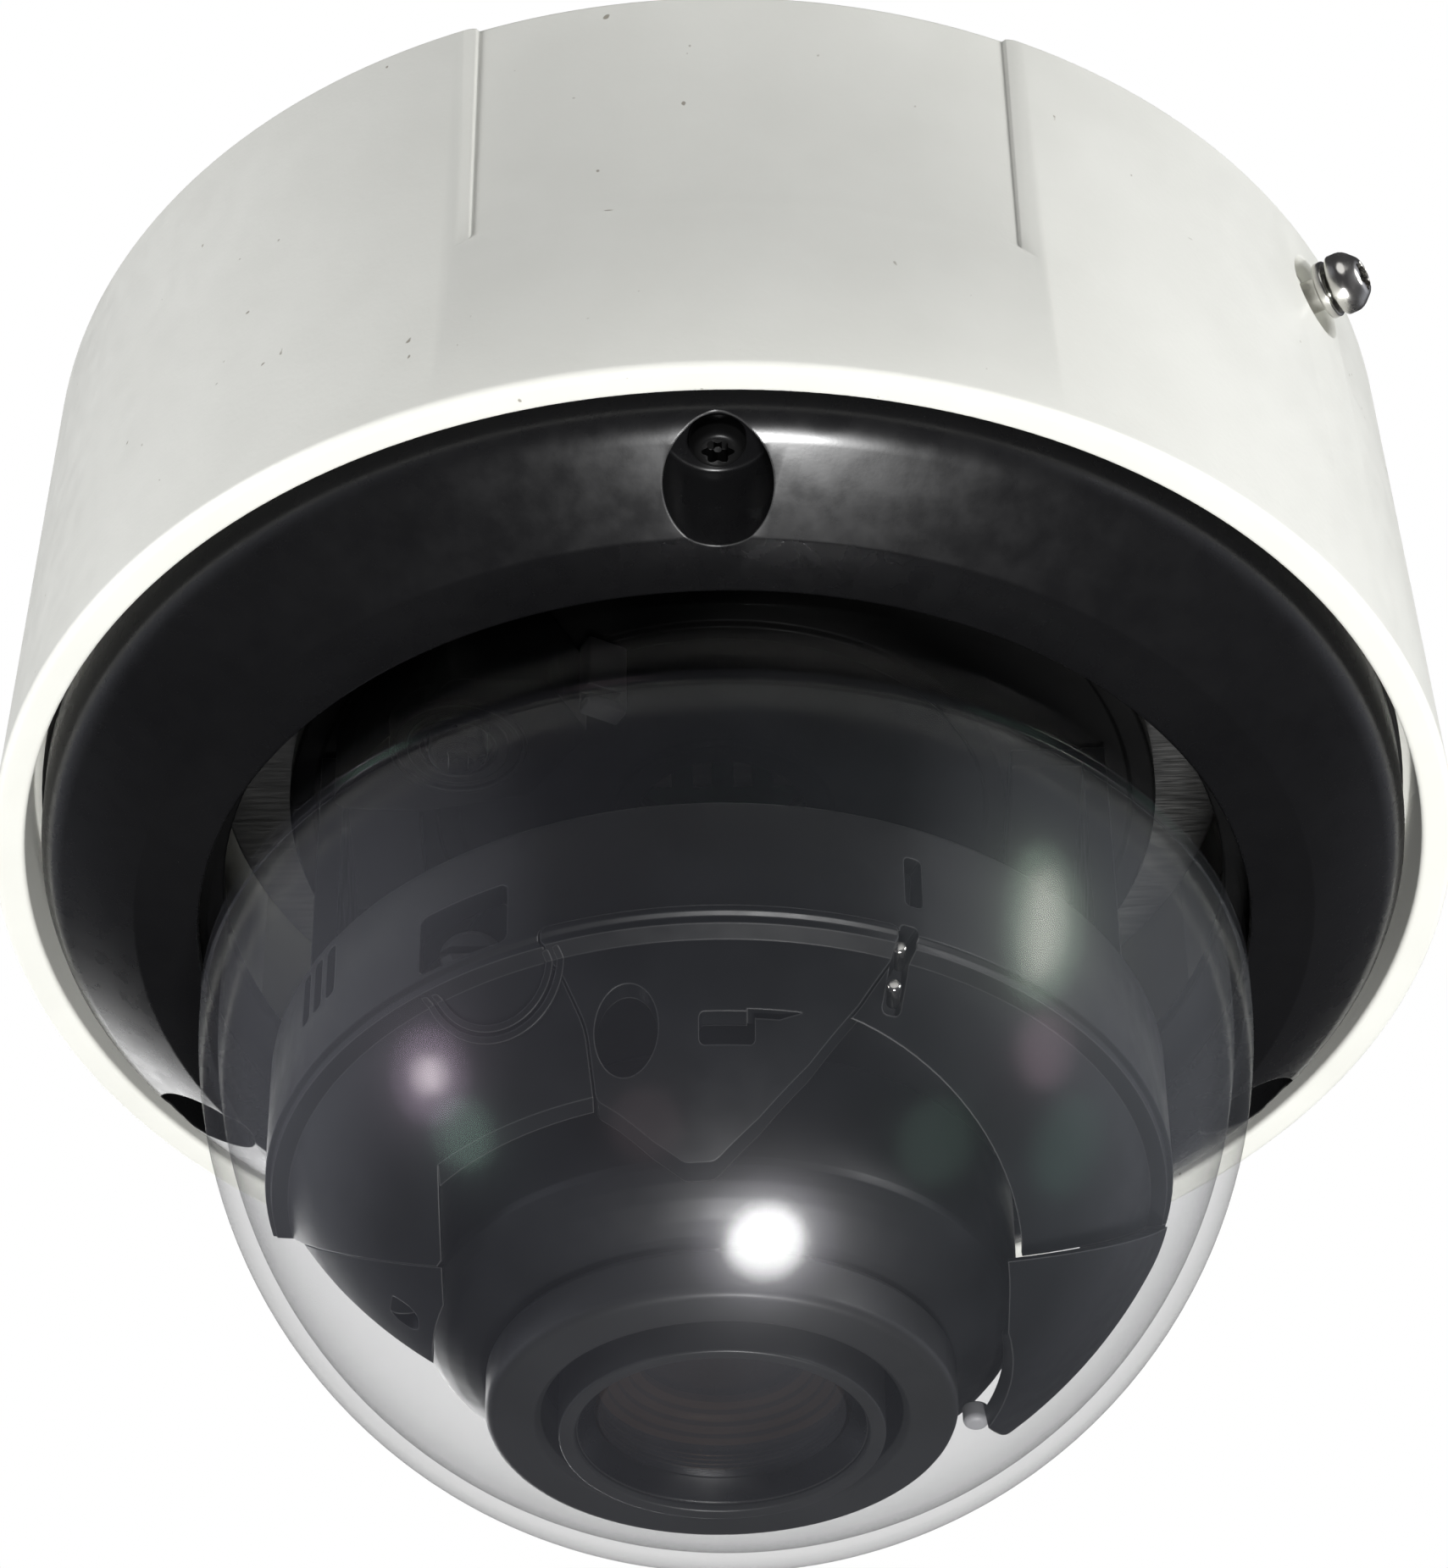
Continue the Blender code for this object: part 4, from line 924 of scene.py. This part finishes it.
def lens_unit():
    collar = turned("collar", filleted([
        (27.0, -21.1), (28.8, -21.1, 0.3), (29.3, -21.8, 0.4), (29.3, -33.6, 0.3), (29.1, -34.4, 0.3),
        (28.2, -35.6, 2), (26.9, -36.8, 3), (25.2, -38.0, 4), (23.6, -38.8, 2), (22.4, -39.2, 0.3),
        (18.4, -39.2), (18.4, -37.6), (22.8, -37.3), (25.6, -35.6), (27.0, -33.6),
    ], closed=True), LENS, FINE_ROUND)
    fit(collar, "lens_unit", "black_shell", COLLAR, "lens_collar")
    ring = turned("nose_ring", filleted([
        (17.6, -39.5), (22.5, -39.5, 0.2), (23.0, -40.2, 0.3), (23.0, -44.9, 1.1), (18.3, -45.0, 0.4),
        (17.6, -44.3, 0.3),
    ], closed=True), LENS, FINE_ROUND)
    fit(ring, "lens_unit", "black_shell", NOSE, "front_ring")
    barrel = turned("barrel", filleted([
        (14.2, -8.0), (14.6, -8.0), (14.6, -38.0), (15.9, -38.8), (15.9, -46.8, 0.3), (14.4, -46.7, 0.3),
        (14.2, -46.2),
    ], closed=True), LENS, FINE_ROUND)
    fit(barrel, "lens_unit", "aluminium", ALLOY, "lens_barrel", sharp=20)
    inner = 12.4
    grooves = []
    for i in range(4):
        z = -43.4 + 0.5 * i
        grooves += [(inner, z), (inner + 0.25, z + 0.15), (inner + 0.25, z + 0.3), (inner, z + 0.42)]
    lining = turned("barrel_lining", [(inner, -8.0), (14.15, -8.0), (14.15, -46.0), (13.2, -44.8),
                                      (inner, -44.0)] + grooves, LENS, FINE_ROUND)
    fit(lining, "lens_unit", "aluminium", BLACK, "lens_barrel", sharp=20)
    steps = [(12.3, -40.4)]
    for r, z in ((11.4, -40.2), (10.4, -39.4), (9.4, -38.6), (8.4, -37.8)):
        steps += [(r, z), (r, z + 0.6)]
    baffle = turned("baffle", steps + [(8.4, -37.0), (12.3, -37.0)], LENS)
    fit(baffle, "lens_unit", "black_satin", BAFFLE)
    lens_glass()
    iris = turned("iris", [(5.0, -29.4), (12.1, -29.4), (12.1, -30.6), (5.0, -30.6)], LENS, 96)
    fit(iris, "lens_unit", "black_satin", BLACK, "iris_ring")
    mount = turned("lens_seat", filleted([(9, -0.4), (18, -0.4, 0.3), (18, -3, 0.3), (16, -7.7, 0.4),
                                          (9, -7.7)], closed=True), LENS, 96)
    fit(mount, "lens_unit", "grey_plastic", PLASTIC, "lens_mount")


def lens_glass():
    curve = 25.4
    face = -47.2
    half = math.degrees(math.asin(12.1 / curve))
    front = arc(curve, -90 + half, -90, 16, (0, face + curve))
    front[-1] = (0, face)
    fit(turned("front_glass", [(0, -40.6), (12.1, -41.2)] + front, LENS), "lens_unit", "lens_glass",
        GLASS, "front_element", sharp=40)
    middle = [(0, -33.6), (10, -33.0), (12.1, -33.0), (12.1, -36.4), (9, -36.0), (0, -35.4)]
    fit(turned("middle_glass", middle, LENS, 96), "lens_unit", "lens_glass", GLASS, "middle_element")
    rear = [(0, -19.4), (12.1, -20.4), (12.1, -23.4), (0, -24.6)]
    fit(turned("rear_glass", rear, LENS, 96), "lens_unit", "lens_glass", GLASS, "rear_element")


KEPT = {
    BOARD: ("main_board", "sensor_board"),
    STEEL: ("board_screw_1", "board_screw_2", "board_screw_3", "network_socket", "card_socket",
            "bracket_post_1", "bracket_post_2", "bracket_post_3"),
    DARK_STEEL: ("bracket_screw_1", "bracket_screw_2", "bracket_screw_3"),
    SINK: ("heat_sink",),
    GREEN: ("power_terminal",),
    PLASTIC: ("memory_card", "reset_switch", "image_sensor"),
    BLACK: ("reset_button",),
    GLASS: ("ir_filter",),
}


def kept_nodes():
    """Inner parts whose CAD shape is right: only their material changes."""
    for paint, names in KEPT.items():
        for name in names:
            materials = frame["nodes"][name].data.materials
            materials.clear()
            materials.append(paint)


# ---------------------------------------------------------------- light

DIM_ROOM = (0.06, 0.06, 0.065, 1)
SIDE_WALLS = (0.62, 0.64, 0.72, 1)
FLOOR_FAR, FLOOR_Z = 6.0, -1.6


def lamp(name, spot, target, size, power, colour=(1, 1, 1), only=(), without=(), height=None):
    """A soft elliptical lamp; it can be kept to some objects, or kept off them."""
    data = bpy.data.lights.new(name, "AREA")
    data.shape = "ELLIPSE"
    data.size = size
    data.size_y = height or size
    data.energy = power
    data.color = colour
    made = bpy.data.objects.new(name, data)
    bpy.context.scene.collection.objects.link(made)
    made.location = spot
    made.rotation_euler = (Vector(target) - Vector(spot)).to_track_quat("-Z", "Y").to_euler()
    made.visible_camera = False
    if only or without:
        linked = bpy.data.collections.new(name + "_reaches")
        for thing in only or without:
            linked.objects.link(bpy.data.objects[thing])
        made.light_linking.receiver_collection = linked
        if without:
            for child in linked.collection_objects:
                child.light_linking.link_state = "EXCLUDE"
    return made


def make_world():
    """White behind the object; for all else a dim room whose side walls are brighter."""
    world = bpy.data.worlds.new("world")
    bpy.context.scene.world = world
    world.use_nodes = True
    tree = world.node_tree
    place = tree.nodes.new("ShaderNodeTexCoord")
    split = tree.nodes.new("ShaderNodeSeparateXYZ")
    tree.links.new(place.outputs["Generated"], split.inputs["Vector"])
    aside = mapped(tree, calculated(tree, "ABSOLUTE", split.outputs["X"]), 0.55, 0.95)
    raised = mapped(tree, split.outputs["Z"], -0.35, 0.15)
    glow = calculated(tree, "MULTIPLY", aside, raised)
    sky = tree.nodes["Background"]
    tree.links.new(mixed(tree, glow, DIM_ROOM, SIDE_WALLS), sky.inputs["Color"])
    seen = tree.nodes.new("ShaderNodeBackground")
    seen.inputs["Color"].default_value = (1, 1, 1, 1)
    seen.inputs["Strength"].default_value = 1.0
    path = tree.nodes.new("ShaderNodeLightPath")
    picked = mixed_shader(tree, path.outputs["Is Camera Ray"], sky.outputs["Background"],
                          seen.outputs["Background"])
    tree.links.new(picked, tree.nodes["World Output"].inputs["Surface"])


def make_floor():
    mesh = bpy.data.meshes.new("floor")
    corners = [(x * FLOOR_FAR, y * FLOOR_FAR, FLOOR_Z) for x, y in ((-1, -1), (1, -1), (1, 1), (-1, 1))]
    mesh.from_pydata(corners, [], [(0, 1, 2, 3)])
    floor = bpy.data.objects.new("floor", mesh)
    bpy.context.scene.collection.objects.link(floor)
    mesh.materials.append(surface("floor_paint", (0.80, 0.80, 0.79), (0.84, 0.84, 0.83), (0.6, 0.7),
                                  patch=0.6, grain=40.0, depth=0.3, edge=1.0))
    floor.visible_diffuse = False
    floor.visible_glossy = False


GLINT_AWAY = 700.0
CLEAR_PIECES = ("bubble", "front_glass", "middle_glass", "rear_glass")
DARK_PAINTS = (BLACK, SHELL, INNER, BAFFLE, COLLAR, NOSE, ALLOY, DARK_STEEL, PALE, RUBBER)


def glint(name, spot, towards, spread, power, colour=(1, 1, 1), tall=1.0, only=("bubble",),
          without=()):
    """A lamp that the bubble mirrors, seen in it at this spot; spread is its half angle from there."""
    start = Vector(spot)
    place = start + Vector(towards).normalized() * GLINT_AWAY
    size = 2 * GLINT_AWAY * math.tan(math.radians(spread))
    lamp(name, place * MM, start * MM, size * MM, power, colour, only, without, size * tall * MM)


def make_lights():
    """The strong lamp stands on the right, a weaker one on the left, and one hangs low in front."""
    middle = Vector((0, 0, -0.05))
    dark = CLEAR_PIECES + tuple(thing.name for thing in bpy.context.scene.objects if thing.type == "MESH"
                                and thing.data.materials and thing.data.materials[0] in DARK_PAINTS)
    lamp("key", middle + Vector((1.39, -0.50, 0.19)), middle, 0.6, 13.5, without=dark)
    lamp("left_fill", middle + Vector((-1.45, -0.42, 0.1)), middle, 0.7, 15, without=dark)
    lamp("front_fill", middle + Vector((0.1, -1.45, 0.45)), middle, 1.2, 4, without=dark)
    lamp("low_fill", middle + Vector((0.05, -0.28, -1.38)), middle, 0.6, 17, without=dark)
    lamp("back_fill", middle + Vector((-0.4, 1.4, 0.5)), middle, 1.0, 10, without=CLEAR_PIECES)
    lamp("dark_key", middle + Vector((1.2, -0.8, 0.3)), middle, 0.5, 4, without=CLEAR_PIECES)
    main = ((3.5, -28.1, -124.1), (0.127, -0.146, -0.981))
    left = ((-28.3, -34.3, -108.6), (-0.917, -0.25, -0.311))
    right = ((30.7, -40.4, -96.3), (0.924, -0.36, 0.127))
    glint("glint_main", *main, 8.0, 2.7, only=(), without=("bezel",))
    glint("glint_edge", *main, 6.0, 0.12, only=("bezel",))
    glint("glint_shoulder", (11, -69, -59), (0.10, -0.59, -0.80), 3.5, 6.5, only=("bezel",))
    glint("glint_halo", *main, 15.0, 0.25, (0.8, 0.7, 1.0))
    glint("glint_left", *left, 3.5, 0.30, (1.0, 0.88, 0.95))
    glint("glint_left_halo", *left, 9, 0.30, (0.95, 0.70, 1.0))
    glint("glint_left_green", (-25.1, -31.8, -113.7), (-0.839, -0.197, -0.508), 7, 0.14, (0.6, 1.0, 0.8))
    glint("glint_right", *right, 4.5, 0.60, (0.97, 1.0, 0.88), 2.6)
    glint("glint_right_halo", *right, 9, 0.50, (0.70, 1.0, 0.75), 1.8)
    glint("glint_right_pink", (30.4, -34.3, -106.6), (0.953, -0.214, -0.217), 7, 0.13, (1.0, 0.7, 0.85))
    glint("glint_right_green", (32.7, -26.4, -112.0), (0.946, 0.09, -0.31), 9, 0.07, (0.5, 1.0, 0.8))
    glint("glint_low_green", (19.8, -32.8, -116.2), (0.696, -0.286, -0.658), 9, 0.07, (0.6, 1.0, 0.8))
    glint("glint_low_pink", (-7.7, -36.8, -116.8), (-0.294, -0.534, -0.793), 8, 0.04, (1.0, 0.7, 0.75))
    bpy.context.scene.view_settings.view_transform = "Standard"


make_camera()
mounting_plate()
housing_shell()
side_screw()
grommet()
bezel()
bezel_screws()
bubble()
clamp_rings()
gimbal_base()
turntable()
yokes()
pan_lock()
shroud()
tilt_lock()
camera_head()
lens_unit()
kept_nodes()
make_world()
make_floor()
make_lights()
